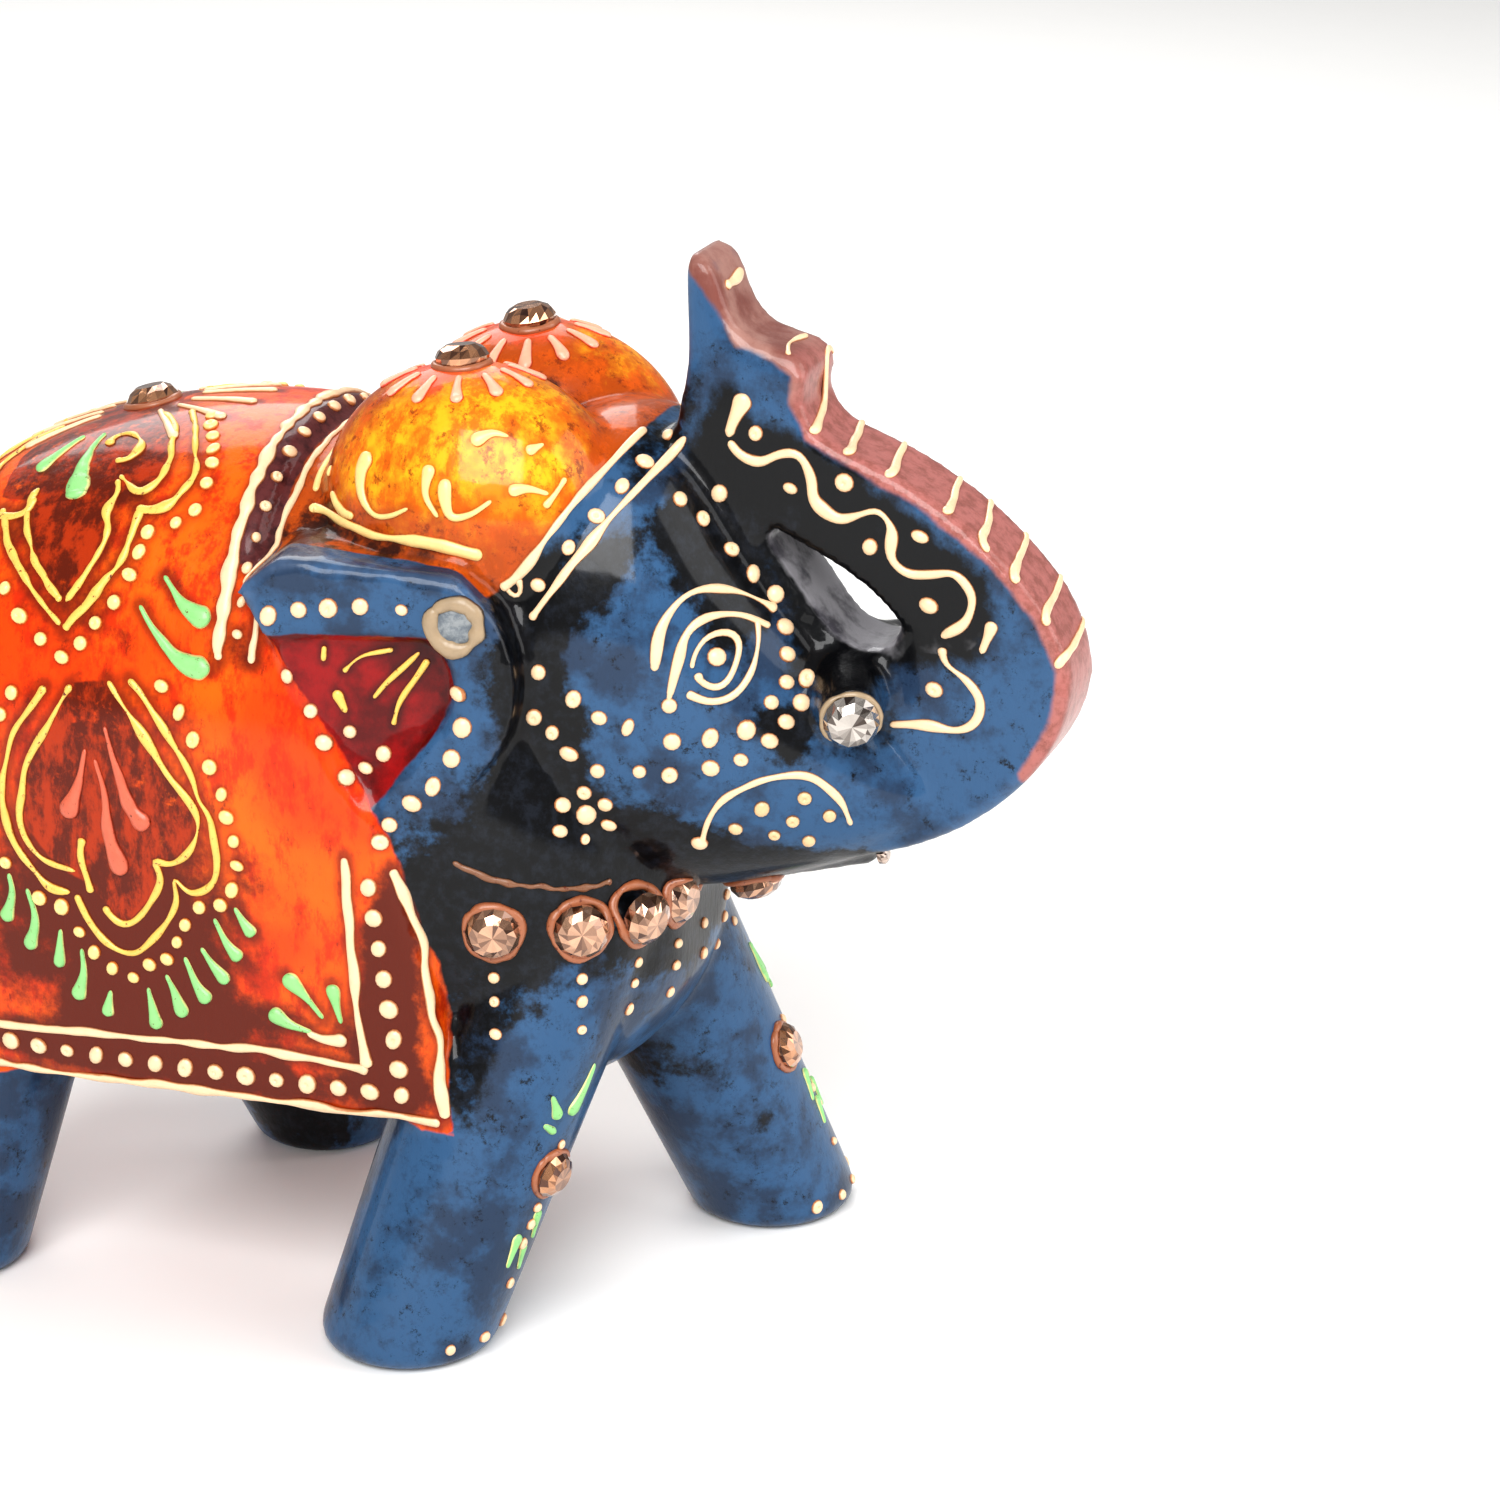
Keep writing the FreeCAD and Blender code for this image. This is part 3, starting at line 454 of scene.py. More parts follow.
def stroke(heap, points, normals, widths, rise, around=10):
    """A line or drop of paste.

    An oval is carried along the points. Its half width is the given width; above the wood it
    is as tall as rise times the square root of the width, and below it is let in half as far.
    """
    along = unit(np.gradient(points, axis=0))
    across = unit(np.cross(normals, along))
    upward = np.cross(along, across)
    turn = np.linspace(0, 2 * np.pi, around, endpoint=False)
    level = np.where(np.sin(turn) > 0, np.sin(turn), 0.5 * np.sin(turn))
    tall = rise * np.sqrt(widths)
    rings = (points[:, None] + across[:, None] * (widths[:, None] * np.cos(turn))[..., None]
             + upward[:, None] * (tall[:, None] * level)[..., None])
    share = np.tile(np.maximum(np.sin(turn), 0), (len(points), 1))
    heap.add(rings, points[0], points[-1], share)


DOT_SIDES = 12


def dome_dot(heap, point, normal, radius, rise, squash, pit):
    """A drop of paste: an oval cap turned about the normal, with a shallow pit in its middle.

    Its height falls from the middle to the rim as the square root of 1 minus r squared. The
    pit takes away a narrow bell round the middle, and squash makes the drop an oval.
    """
    radii = np.array([0.55, 1.0, 1.0, 0.86, 0.62, 0.34, 0.14])
    heights = np.sqrt(np.maximum(1 - radii ** 2, 0)) - pit * np.exp(-(radii / 0.25) ** 2)
    heights[:3] = (-0.6, -0.45, 0.05)
    side = unit(np.cross(normal, (0.31, 0.17, 0.93)))
    ahead = np.cross(normal, side)
    turn = np.linspace(0, 2 * np.pi, DOT_SIDES, endpoint=False)
    oval = side * (1 + squash) * np.cos(turn)[:, None] + ahead * (1 - squash) * np.sin(turn)[:, None]
    tall = rise * np.sqrt(radius)
    rings = point + oval[None] * (radius * radii)[:, None, None] + normal * (tall * heights)[:, None, None]
    share = np.repeat(np.sqrt(np.maximum(1 - radii ** 2, 0))[:, None], DOT_SIDES, 1)
    foot = point - normal * 0.6 * tall
    top = point + normal * tall * (1 - pit)
    heap.add(rings, foot, top, share)


class WoodSkin:
    """The finished wood in millimetres, for finding where something laid on it sits."""

    def __init__(self, mesh):
        points = [v.co / MM for v in mesh.vertices]
        self.tree = BVHTree.FromPolygons(points, [tuple(p.vertices) for p in mesh.polygons])

    def cast(self, starts, ways):
        """Points where the rays first meet the wood, and the wood's normals there.

        Rays that miss are left out, so a line may be shorter than asked. It is an error if
        fewer than half of them meet the wood.
        """
        points, normals = [], []
        for start, way in zip(starts, ways):
            point, normal, _, _ = self.tree.ray_cast(Vector(start), Vector(way))
            if point is not None:
                points.append(point)
                normals.append(normal)
        if len(points) < max(1, len(starts) // 2):
            raise RuntimeError("a line of paste misses the wood")
        return np.array(points), np.array(normals)

    def let_down(self, points, normal, reach=2.5):
        """Each point lowered onto the wood against the normal, unless the wood is out of reach."""
        lowered = []
        for point in points:
            hit, _, _, _ = self.tree.ray_cast(Vector(point + normal * reach), Vector(-normal), 2 * reach)
            lowered.append(point if hit is None else np.array(hit))
        return np.array(lowered)


# where rays towards the wood start, in millimetres, clear of it on every side
BESIDE = 60.0
ABOVE = 130.0
AHEAD = 80.0
BACK_AXIS = 50.0               # height of the axis that turns round the back are measured about


# ways of looking at the wood: each turns pairs of numbers into rays towards it
def side_view(side):
    """Pairs are x and z, seen square on from the right (-1) or the left (1)."""
    def rays(pairs):
        x, z = pairs.T
        starts = np.stack([x, np.full_like(x, side * BESIDE), z], -1)
        return starts, np.tile((0.0, -side, 0.0), (len(x), 1))
    return rays


def round_back(side):
    """Pairs are x and the turn in degrees down the side from the ridge of the back."""
    def rays(pairs):
        x, turn = pairs[:, 0], np.radians(pairs[:, 1])
        out = np.stack([np.zeros_like(x), side * np.sin(turn), np.cos(turn)], -1)
        middle = np.stack([x, np.zeros_like(x), np.full_like(x, BACK_AXIS)], -1)
        return middle + BESIDE * out, -out
    return rays


def round_chest(side):
    """Pairs are the turn in degrees from straight ahead, and the height."""
    def rays(pairs):
        turn, z = np.radians(pairs[:, 0]), pairs[:, 1]
        out = np.stack([np.cos(turn), side * np.sin(turn), np.zeros_like(z)], -1)
        middle = np.stack([np.zeros_like(z), np.zeros_like(z), z], -1)
        return middle + BESIDE * out, -out
    return rays


def from_above(side):
    """Pairs are x and y."""
    def rays(pairs):
        x, y = pairs.T
        starts = np.stack([x, side * y, np.full_like(x, ABOVE)], -1)
        return starts, np.tile((0.0, 0.0, -1.0), (len(x), 1))
    return rays


def from_ahead(side):
    """Pairs are y and z."""
    def rays(pairs):
        y, z = pairs.T
        starts = np.stack([np.full_like(y, AHEAD), side * y, z], -1)
        return starts, np.tile((-1.0, 0.0, 0.0), (len(y), 1))
    return rays


class Tube:
    """A squeezed tube of paste: it lays lines, drops and dots on the wood."""

    def __init__(self, skin, settings, seed):
        self.skin = skin
        self.line_width = settings.line / MM
        self.dot_radius = settings.dot / MM
        self.rise = settings.rise / MM
        self.wobble = settings.wobble
        self.random = np.random.default_rng(seed)
        self.heap = Heap()
        self.trail = []

    def uneven(self, count, ease):
        """A gently changing factor about 1."""
        return 1 + self.wobble * eased(self.random.normal(size=count), ease) * math.sqrt(2 * ease)

    def lay(self, view, corners, profile, step=0.45, sway=0.07, steady=1.0):
        """Carry the profile, a function of run and whole length, along the corners.

        The steadier the hand, the less the width wobbles.
        """
        pairs = smooth_line(corners, step)
        pairs = pairs + eased(self.random.normal(size=pairs.shape) * sway * 3, 10)
        points, normals = self.skin.cast(*view(pairs))
        points, normals = eased(points, 2), unit(eased(normals, 4))
        run = np.concatenate([[0], np.cumsum(np.linalg.norm(np.diff(points, axis=0), axis=1))])
        ends = np.array([0.0, 0.03, 0.12, 0.3, 0.6])
        extra = np.concatenate([ends, run[-1] - ends])
        places = np.unique(np.clip(np.concatenate([run[2:-2], extra]), 0, run[-1]))
        points = np.stack([np.interp(places, run, c) for c in points.T], 1)
        normals = unit(np.stack([np.interp(places, run, c) for c in normals.T], 1))
        widths = profile(places, run[-1]) * self.uneven(len(places), 7) ** (1 / steady)
        stroke(self.heap, points, normals, np.maximum(widths, 0.01), self.rise)
        self.trail.append(points)

    def line(self, view, corners, width=1.0):
        """An even line with round ends; width is a share of the usual one."""
        half = self.line_width * width

        def profile(run, whole):
            inset = np.clip(np.minimum(run, whole - run) / half, 0, 1)
            return half * np.sqrt(1 - (1 - inset) ** 2)
        self.lay(view, corners, profile)

    def drop(self, view, corners, head, tail=0.22):
        """A drop that grows from a thin tail at the first corner to a round head at the last."""
        def profile(run, whole):
            body = tail + (head - tail) * (run / whole) ** 1.9
            cap = np.sqrt(np.clip(1 - (1 - np.clip((whole - run) / head, 0, 1)) ** 2, 0, 1))
            start = np.sqrt(np.clip(run / tail, 0, 1))
            return body * cap * start
        self.lay(view, corners, profile, step=0.3, sway=0.03, steady=4.0)

    def dots(self, view, places, size=1.0, spread=0.1):
        """A dot at each place, no two quite alike; size is a share of the usual radius."""
        points, normals = self.skin.cast(*view(np.asarray(places, float)))
        for point, normal in zip(points, normals):
            radius = self.dot_radius * size * (1 + spread * self.random.normal())
            squash = 0.08 * self.random.normal()
            pit = 0.55 if self.random.random() < 0.3 else 0.0
            dome_dot(self.heap, point, normal, radius, self.rise * 1.1, squash, pit)
        self.trail.append(points)

    def ring(self, seat, radius, thickness=1.0, flat=False, turn=(0, 390)):
        """Paste round a stone: an overlapping circle, dropped onto the wood unless flat."""
        point, normal = seat
        side = unit(np.cross(normal, (0.2, 0.9, 0.3)))
        ahead = np.cross(normal, side)
        angle = np.radians(np.linspace(*turn, 44))
        away = radius * (1 + 0.03 * np.sin(3 * angle))
        circle = point + side * (away * np.cos(angle))[:, None] + ahead * (away * np.sin(angle))[:, None]
        normals = np.tile(normal, (len(circle), 1))
        if not flat:
            circle = self.skin.let_down(circle, normal)
        half = self.line_width * thickness
        inset = np.clip(np.arange(len(circle)) / 3, 0, 1) * np.clip(np.arange(len(circle))[::-1] / 3, 0, 1)
        widths = half * np.sqrt(np.maximum(inset, 0.01)) * self.uneven(len(circle), 2)
        stroke(self.heap, eased(circle), normals, widths, self.rise * 1.5)


# ---- the wood ----------------------------------------------------------------------------
CLOTH = [(-51.3, 95), (-51.3, 21.0), (6.4, 22.6), (4.7, 38), (1.0, 50.3), (-13.2, 72.5), (-13.9, 95)]
DOME = [(-12.3, 96), (-12.3, 74.4), (-9.5, 73.0), (8.0, 71.0), (9.4, 72.1), (11.3, 74.0),
        (14.4, 78.4), (16.5, 81.5), (18.4, 84.3), (17.6, 96)]
STRIP_REAR = [(9.4, 72.1), (11.3, 74.0), (14.4, 78.4), (16.5, 81.5), (18.4, 84.3)]
STRIP_FRONT = [(12.0, 69.5), (14.5, 73.1), (17.4, 77.3), (19.8, 80.4), (22.4, 84.2)]
EAR_HOLLOW = [(-16.5, 67.6), (-6.0, 68.4), (4.7, 68.6), (6.9, 64.2), (4.7, 59.5), (-3.8, 48.6), (-6.0, 48.6)]
TRUNK_OUTSIDE = [(22.3, 99.9), (25.2, 96.4), (27.3, 93.2), (30.0, 92.3), (32.9, 90.8), (32.7, 88.0),
                 (33.9, 85.4), (37.5, 83.6), (44.5, 80.3), (50.6, 75.8), (54.6, 71.3), (57.0, 66.0),
                 (56.4, 61.0), (54.0, 56.6)]
MEDALLION_INSIDE = [(-26.2, 61.7), (-23.4, 58.7), (-20.1, 54.4), (-17.5, 50.5), (-18.0, 47.2),
                    (-21.0, 44.6), (-21.6, 42.3), (-24.9, 38.8), (-28.4, 42.4), (-31.8, 43.8),
                    (-35.0, 47.5), (-34.1, 52.9), (-32.0, 56.6), (-29.3, 61.0)]
SADDLE_INSIDE = [(-28.7, 0), (-25.1, 18), (-24.4, 26), (-28.2, 29), (-28.6, 40), (-30.9, 49),
                 (-35.2, 39), (-37.0, 30), (-41.0, 28), (-41.5, 16), (-38.0, 0)]
SIDE_MM = 0.52                 # millimetres down the side of the back to each degree of turn

NIGHT = [(22.5, 85.0), (26.0, 88.8), (29.5, 86.0), (34.5, 84.4), (40.0, 81.4), (45.0, 78.0),
         (50.0, 74.0), (50.5, 69.0), (48.5, 66.0), (43.0, 65.5), (40.0, 63.0), (37.0, 62.5),
         (33.4, 64.0), (31.2, 70.0), (26.4, 76.5), (21.5, 80.5)]


# soft patches: middle (x, distance from the middle plane, z), reach each way, strength
# Black patches: partly black wash, partly painted shade under the belly, chest and jaw, beside the ears and
# on the inner legs.
DARK = [
    ((10, 14, 45), (13, 14, 8), 1.3), ((20, 3, 41), (13, 9, 7), 1.3), ((31, 6.5, 75), (9, 2.0, 6), 0.9),
    ((27, 9, 72), (3.0, 4, 6), 0.5), ((12, 16, 66), (3.4, 6, 8), 1.0), ((12, 15, 56), (5.0, 5, 6), 1.1),
    ((22, 13, 47), (9, 6, 4), 0.7), ((34, 6, 45), (16, 6, 3), 1.1), ((33, 2, 44), (12, 5, 2.4), 1.2),
    ((10, 15, 32), (4, 4, 7), 0.5), ((-24, 6, 14), (9, 7, 14), 0.9), ((-15, 0, 19), (34, 15, 5), 1.2),
    ((11, 15, 72), (2.5, 3, 3), 1.0), ((21, 3, 86), (3, 3, 3), 0.9), ((17, 9, 84), (5, 5, 2), 0.5),
    ((33, 9, 60), (4, 4, 3), 0.8), ((6, 21, 30), (4, 4, 8), 0.7), ((22, 18, 60), (7, 4, 2.5), 0.3),
    ((40, 5, 60), (4, 4, 3), 0.6), ((5, 13, 17), (2, 5, 6), 0.4), ((8, 22, 5), (5, 5, 2), 0.3),
    ((-26, 12, 9), (6, 9, 9), 0.9), ((24, 10, 10), (4, 4, 6), 0.3), ((-58, 0, 44), (3.4, 2.6, 17), 1.2),
    ((17, 13, 73), (3.6, 5, 5), 0.75), ((24, 9, 77), (4, 5, 4.5), 0.9), ((29, 8, 71), (2.6, 4, 4), 0.6),
]
SHADE = [
    ((-12, 22, 66), (6, 8, 9), 0.45), ((-12, 23, 30), (26, 6, 4), 0.45), ((-26, 23, 36), (17, 6, 9), 1.0),
    ((-26, 22, 50), (14.5, 6, 14), 0.8), ((-31, 13, 72), (12, 9, 12), 0.95),
    ((1.0, 22, 36), (3.0, 6, 14), 1.4),
    ((-48, 18, 50), (5, 14, 26), 0.5), ((-24, 23, 25.4), (32, 6, 2.4), 1.0), ((-32, 0, 80), (9, 7, 4), 0.4),
]
# Glow patches: amber on the domes' upper flanks, partly the domes' yellow paint, partly a painted highlight.
GLOW = [((7, 11, 86), (8, 7, 5), 1.1), ((-2, 14, 82), (7, 6, 4), 0.75), ((9, 14, 82), (6, 5, 4), 0.75),
        ((5, 16, 78), (9, 5, 3), 0.3)]
CROWN = [((1.5, 8, 89), (8, 6.5, 3.0), 0.9)]
# Painted shade patches: darker brown at the domes' bases and in the valley between them.
DOME_SHADE = [((-3, 17, 75.5), (14, 5, 2.4), 0.75), ((13, 12, 79), (4, 6, 4), 0.5), ((8, 0, 84), (11, 3, 6), 0.75),
        ((-8, 0, 80), (6, 10, 4), 0.5), ((-9, 13, 79), (3, 6, 6), 0.5)]


def depth_inside(pairs, outline):
    """How far each pair is inside a closed outline, in its own units; less than 0 outside.

    The distance is the least one to any side of the outline. A pair is inside if a line
    drawn from it crosses the outline an odd number of times.
    """
    corners = np.asarray(outline, float)
    after = np.roll(corners, -1, axis=0)
    way = after - corners
    to_pair = pairs[:, None] - corners[None]
    share = np.clip((to_pair * way).sum(-1) / (way ** 2).sum(-1), 0, 1)
    gap = np.linalg.norm(to_pair - share[..., None] * way, axis=-1).min(1)
    x, y = pairs[:, :1], pairs[:, 1:]
    spans = (corners[:, 1] > y) != (after[:, 1] > y)
    rise = np.where(way[:, 1] == 0, 1e-9, way[:, 1])
    crossing = spans & (x < corners[:, 0] + (y - corners[:, 1]) / rise * way[:, 0])
    return np.where(crossing.sum(1) % 2 == 1, gap, -gap)


def gap_to_line(pairs, line):
    """The least distance from each pair to an open line."""
    line = np.asarray(line, float)
    way = np.diff(line, axis=0)
    to_pair = pairs[:, None] - line[None, :-1]
    share = np.clip((to_pair * way).sum(-1) / (way ** 2).sum(-1), 0, 1)
    return np.linalg.norm(to_pair - share[..., None] * way, axis=-1).min(1)


def patches(points, soft):
    """The sum of soft patches: each falls off as a bell over its reach on every axis."""
    folded = points * (1, 0, 1) + np.abs(points) * (0, 1, 0)
    amount = np.zeros(len(points))
    for middle, reach, strength in soft:
        amount += strength * np.exp(-(((folded - middle) / reach) ** 2).sum(1))
    return amount


def crevices(mesh, points, normals):
    """How hollow the wood is at each point: how far its neighbours stand up from it.

    Each point's neighbours are averaged, and the average's height along the normal is eased
    over the neighbours a few times.
    """
    edges = np.zeros(len(mesh.edges) * 2, np.int64)
    mesh.edges.foreach_get("vertices", edges)
    a, b = edges.reshape(-1, 2).T
    count = np.bincount(edges, minlength=len(points))[:, None].astype(float)

    def neighbours(values):
        total = np.zeros_like(values)
        np.add.at(total, a, values[b])
        np.add.at(total, b, values[a])
        return total / count
    spread = points
    for _ in range(4):
        spread = neighbours(spread)
    height = ((spread - points) * normals).sum(1, keepdims=True)
    for _ in range(2):
        height = neighbours(height)
    return height[:, 0]


def paint_wood(mesh):
    """Store each paint region's depth, and the amount of each wash, painted shade and painted highlight, on
    the points of the wood.
    """
    count = len(mesh.vertices)
    points = np.zeros(count * 3, np.float32)
    normals = np.zeros(count * 3, np.float32)
    mesh.vertices.foreach_get("co", points)
    mesh.vertex_normals.foreach_get("vector", normals)
    points = points.reshape(-1, 3).astype(float) / MM
    normals = normals.reshape(-1, 3).astype(float)
    x, y, z = points.T
    away = np.abs(y)
    profile = points[:, [0, 2]]
    turn = np.degrees(np.arctan2(away, z - 50))
    back = np.stack([x, turn * SIDE_MM], -1)
    saddle = [(a, b * SIDE_MM) for a, b in SADDLE_INSIDE]
    saddle_whole = saddle + [(a, -b) for a, b in reversed(saddle[1:-1])]
    strip = STRIP_REAR + [(20.6, 86.5)] + STRIP_FRONT[::-1]
    ornament = np.maximum(np.minimum(depth_inside(profile, MEDALLION_INSIDE), away - 18),
                          np.where(turn < 60, depth_inside(back, saddle_whole), -9))
    regions = {
        "cloth": depth_inside(profile, CLOTH),
        "dome": np.minimum(depth_inside(profile, DOME), 18.6 - away),
        "strip": depth_inside(profile, strip),
        "hollow": np.minimum(depth_inside(profile, EAR_HOLLOW), away - 17.5),
        "collar": np.minimum(np.minimum(x + 14.9, -12.2 - x), z - 72.5),
        "trunk_face": np.minimum(1.0 - gap_to_line(profile, TRUNK_OUTSIDE), 5.6 - away),
        "ornament": ornament,
        "night": depth_inside(profile, NIGHT),
        "bare": np.minimum(depth_inside(profile, NIGHT) - 1.2, 3.9 - away),
        "tip": np.clip((z - 84) / 4, 0, 1) * np.clip((33.5 - x) / 3, 0, 1),
        "dark": patches(points, DARK),
        "shade": patches(points, SHADE),
        "glow": patches(points, GLOW),
        "crown": patches(points, CROWN),
        "dome_shade": patches(points, DOME_SHADE),
        "crevice": crevices(mesh, points, normals),
        "paste_gap": np.full(count, 9.0),
    }
    for name, values in regions.items():
        mesh.attributes.new(name, "FLOAT", "POINT").data.foreach_set("value", values.astype(np.float32))


def darken_round_paste(wood, trails):
    """Store on the wood how far each of its points is from the nearest paste."""
    points = np.zeros(len(wood.data.vertices) * 3, np.float32)
    wood.data.vertices.foreach_get("co", points)
    points = points.reshape(-1, 3) / MM
    cell = 3.0
    trail = np.vstack(trails).astype(np.float32)
    gap = np.full(len(points), 9.0, np.float32)
    keys = np.floor(points / cell).astype(int)
    trail_keys = np.floor(trail / cell).astype(int)
    for key in np.unique(trail_keys, axis=0):
        near = np.all(np.abs(keys - key) <= 1, axis=1)
        inside = trail[np.all(trail_keys == key, axis=1)]
        away = np.linalg.norm(points[near, None] - inside[None], axis=-1).min(1)
        gap[near] = np.minimum(gap[near], away)
    wood.data.attributes["paste_gap"].data.foreach_set("value", gap)


# ---- the paste work, in side view (x, z) unless its view says otherwise --------------------
TRUNK_WAVE = [(26.2, 84.3), (27.2, 82.9), (29.2, 82.4), (31.2, 83.2), (32.8, 83.3), (33.9, 81.4),
              (34.2, 79.4), (36.2, 78.0), (38.4, 78.7), (39.9, 79.2), (41.2, 77.4), (41.1, 75.0),
              (42.6, 73.6), (44.9, 74.0), (46.9, 74.2), (48.3, 72.2), (47.8, 69.6), (45.6, 68.1)]
TRUNK_HOOK = [(45.7, 67.6), (46.1, 65.8), (48.0, 64.4), (49.3, 62.8), (49.0, 60.9), (47.2, 60.0),
              (44.4, 60.2), (41.0, 59.9)]
TRUNK_DOTS = [(28.7, 84.9), (31.9, 80.3), (36.8, 81.3), (39.2, 75.8), (43.7, 77.2), (44.5, 71.0),
              (45.1, 63.4)]
BROW = [(22.6, 65.2), (22.9, 68.0), (23.9, 70.8), (25.4, 72.1), (28.0, 71.6), (31.0, 69.4)]
EYE_TOP = [(24.0, 62.6), (24.4, 65.4), (25.2, 68.6), (26.6, 69.9), (28.8, 69.6), (30.9, 68.0)]
EYE_LOW = [(29.8, 69.4), (30.4, 67.4), (30.2, 65.0), (28.9, 63.1), (27.0, 62.6), (25.2, 63.3)]
EYE_RING = [(25.9, 65.4), (26.3, 64.4), (27.7, 63.9), (28.9, 65.0), (29.1, 67.2), (28.1, 68.4),
            (26.6, 68.2), (25.9, 66.8), (25.9, 65.4)]
JAW_ARC = [(25.7, 48.9), (26.8, 51.5), (28.4, 53.7), (30.8, 55.3), (33.3, 55.9), (35.8, 55.6),
           (38.0, 53.6), (38.7, 51.0)]
JAW_DOTS = [(31.4, 52.7), (29.0, 50.6), (32.2, 50.0), (33.9, 51.5), (35.0, 53.8), (37.0, 52.1),
            (35.0, 49.4)]
CHEEK_DOTS = [(12.9, 65.0), (12.4, 60.8), (14.0, 59.5), (16.0, 62.8), (18.2, 61.2), (20.6, 60.4),
              (24.2, 59.1), (27.3, 59.4), (30.2, 60.1),
              (32.1, 59.1), (33.3, 60.7), (32.0, 62.4), (15.4, 57.6), (17.8, 56.1), (21.4, 56.2),
              (23.9, 55.9), (27.3, 56.6), (29.8, 57.4), (31.8, 68.0), (32.5, 66.0), (32.9, 63.9),
              (34.3, 64.0), (34.3, 62.2), (30.6, 70.6), (28.7, 72.4), (26.9, 74.6), (24.6, 77.4),
              (25.4, 79.2), (22.8, 79.2)]
ROSETTE = (16.4, 51.6)
EAR_RIM_DOTS = [(-9.1, 70.0), (-6.4, 70.7), (-3.8, 71.0), (-1.0, 71.3), (2.6, 71.2), (7.2, 63.8),
                (7.6, 60.8), (6.6, 57.9), (4.9, 55.2), (3.0, 53.5), (1.0, 51.4), (0.3, 49.9)]
EAR_INNER_DOTS = [(-8.4, 64.0), (-6.2, 61.1), (-4.9, 58.4), (-2.9, 55.4), (-2.9, 59.3),
                  (0.1, 57.5), (-1.5, 56.1)]
MEDALLION_LINES = [
    [(-23.9, 62.2), (-21.9, 60.3), (-19.4, 57.0), (-17.6, 54.2), (-16.9, 51.9), (-15.8, 50.2),
     (-15.3, 46.4), (-16.0, 44.0), (-18.3, 42.9), (-19.7, 44.2), (-19.5, 42.0), (-20.8, 39.4),
     (-23.4, 36.6), (-25.2, 36.2), (-27.2, 37.2), (-28.8, 39.2), (-29.6, 41.3)],
    [(-32.0, 60.6), (-34.9, 56.5), (-36.3, 53.0), (-36.9, 49.0), (-36.1, 45.7), (-34.2, 43.0),
     (-32.4, 41.4), (-30.0, 41.3)],
    [(-26.0, 61.8), (-23.4, 58.7), (-20.1, 54.4), (-17.8, 51.7), (-17.1, 49.5), (-18.0, 47.0),
     (-19.9, 45.4), (-21.6, 45.6), (-21.0, 44.1), (-21.6, 42.3), (-23.4, 39.8), (-24.9, 38.8),
     (-26.2, 39.5), (-27.0, 40.6)],
    [(-29.3, 61.1), (-32.0, 56.6), (-34.1, 52.9), (-34.9, 49.3), (-34.9, 46.7), (-33.7, 44.7),
     (-31.8, 43.8), (-29.4, 43.5)],
    [(-28.7, 46.9), (-28.9, 44.8), (-28.1, 41.3)],
]
MEDALLION_PETALS = [[(-28.0, 55.4), (-28.8, 52.0), (-30.3, 48.4)],
                    [(-27.2, 54.6), (-26.3, 51.9), (-26.0, 47.6), (-24.9, 43.6)],
                    [(-26.1, 57.6), (-25.0, 54.1), (-23.9, 50.8), (-22.0, 48.4)]]
MEDALLION_DOTS = [(-20.5, 61.8), (-18.7, 59.7), (-17.3, 57.4), (-15.7, 55.1), (-14.6, 52.7),
                  (-14.2, 50.6), (-13.6, 48.4), (-13.4, 46.1), (-14.0, 43.7), (-15.2, 42.1),
                  (-17.3, 41.6), (-18.8, 39.7), (-19.7, 37.9), (-20.8, 36.1), (-22.6, 35.3),
                  (-24.3, 33.8), (-26.4, 34.4), (-28.2, 35.7), (-29.6, 37.5), (-31.3, 39.7),
                  (-33.6, 40.2), (-37.0, 43.1), (-35.6, 59.4), (-36.8, 57.3)]
FRINGE = [[(-13.9, 42.1), (-12.1, 39.4)], [(-15.9, 40.8), (-14.8, 38.6), (-13.4, 36.9)],
          [(-17.4, 37.8), (-16.2, 36.1), (-14.8, 34.5)], [(-19.1, 36.7), (-18.1, 34.2), (-16.7, 32.3)],
          [(-21.0, 34.7), (-19.2, 30.5)], [(-22.9, 33.1), (-22.2, 28.9)], [(-26.7, 32.3), (-27.2, 29.4)],
          [(-29.5, 36.0), (-29.4, 33.4), (-30.3, 30.7)], [(-31.6, 37.6), (-31.9, 33.6)],
          [(-34.9, 41.0), (-34.2, 38.2), (-35.1, 34.8)], [(-36.8, 42.2), (-36.5, 40.1), (-37.5, 37.2)]]
CORNER_LEAVES = [[(-5.5, 32.3), (-7.5, 34.5), (-9.3, 36.3)], [(-3.9, 32.0), (-4.3, 33.9), (-4.6, 36.0)],
                 [(-6.6, 30.8), (-9.0, 31.4), (-10.9, 32.5)]]
COMMAS = [[(-21.4, 71.0), (-19.6, 69.2), (-18.0, 68.3), (-16.2, 67.7)],
          [(-23.5, 68.5), (-21.4, 66.2), (-19.5, 64.6), (-17.8, 63.9), (-15.8, 63.7)]]
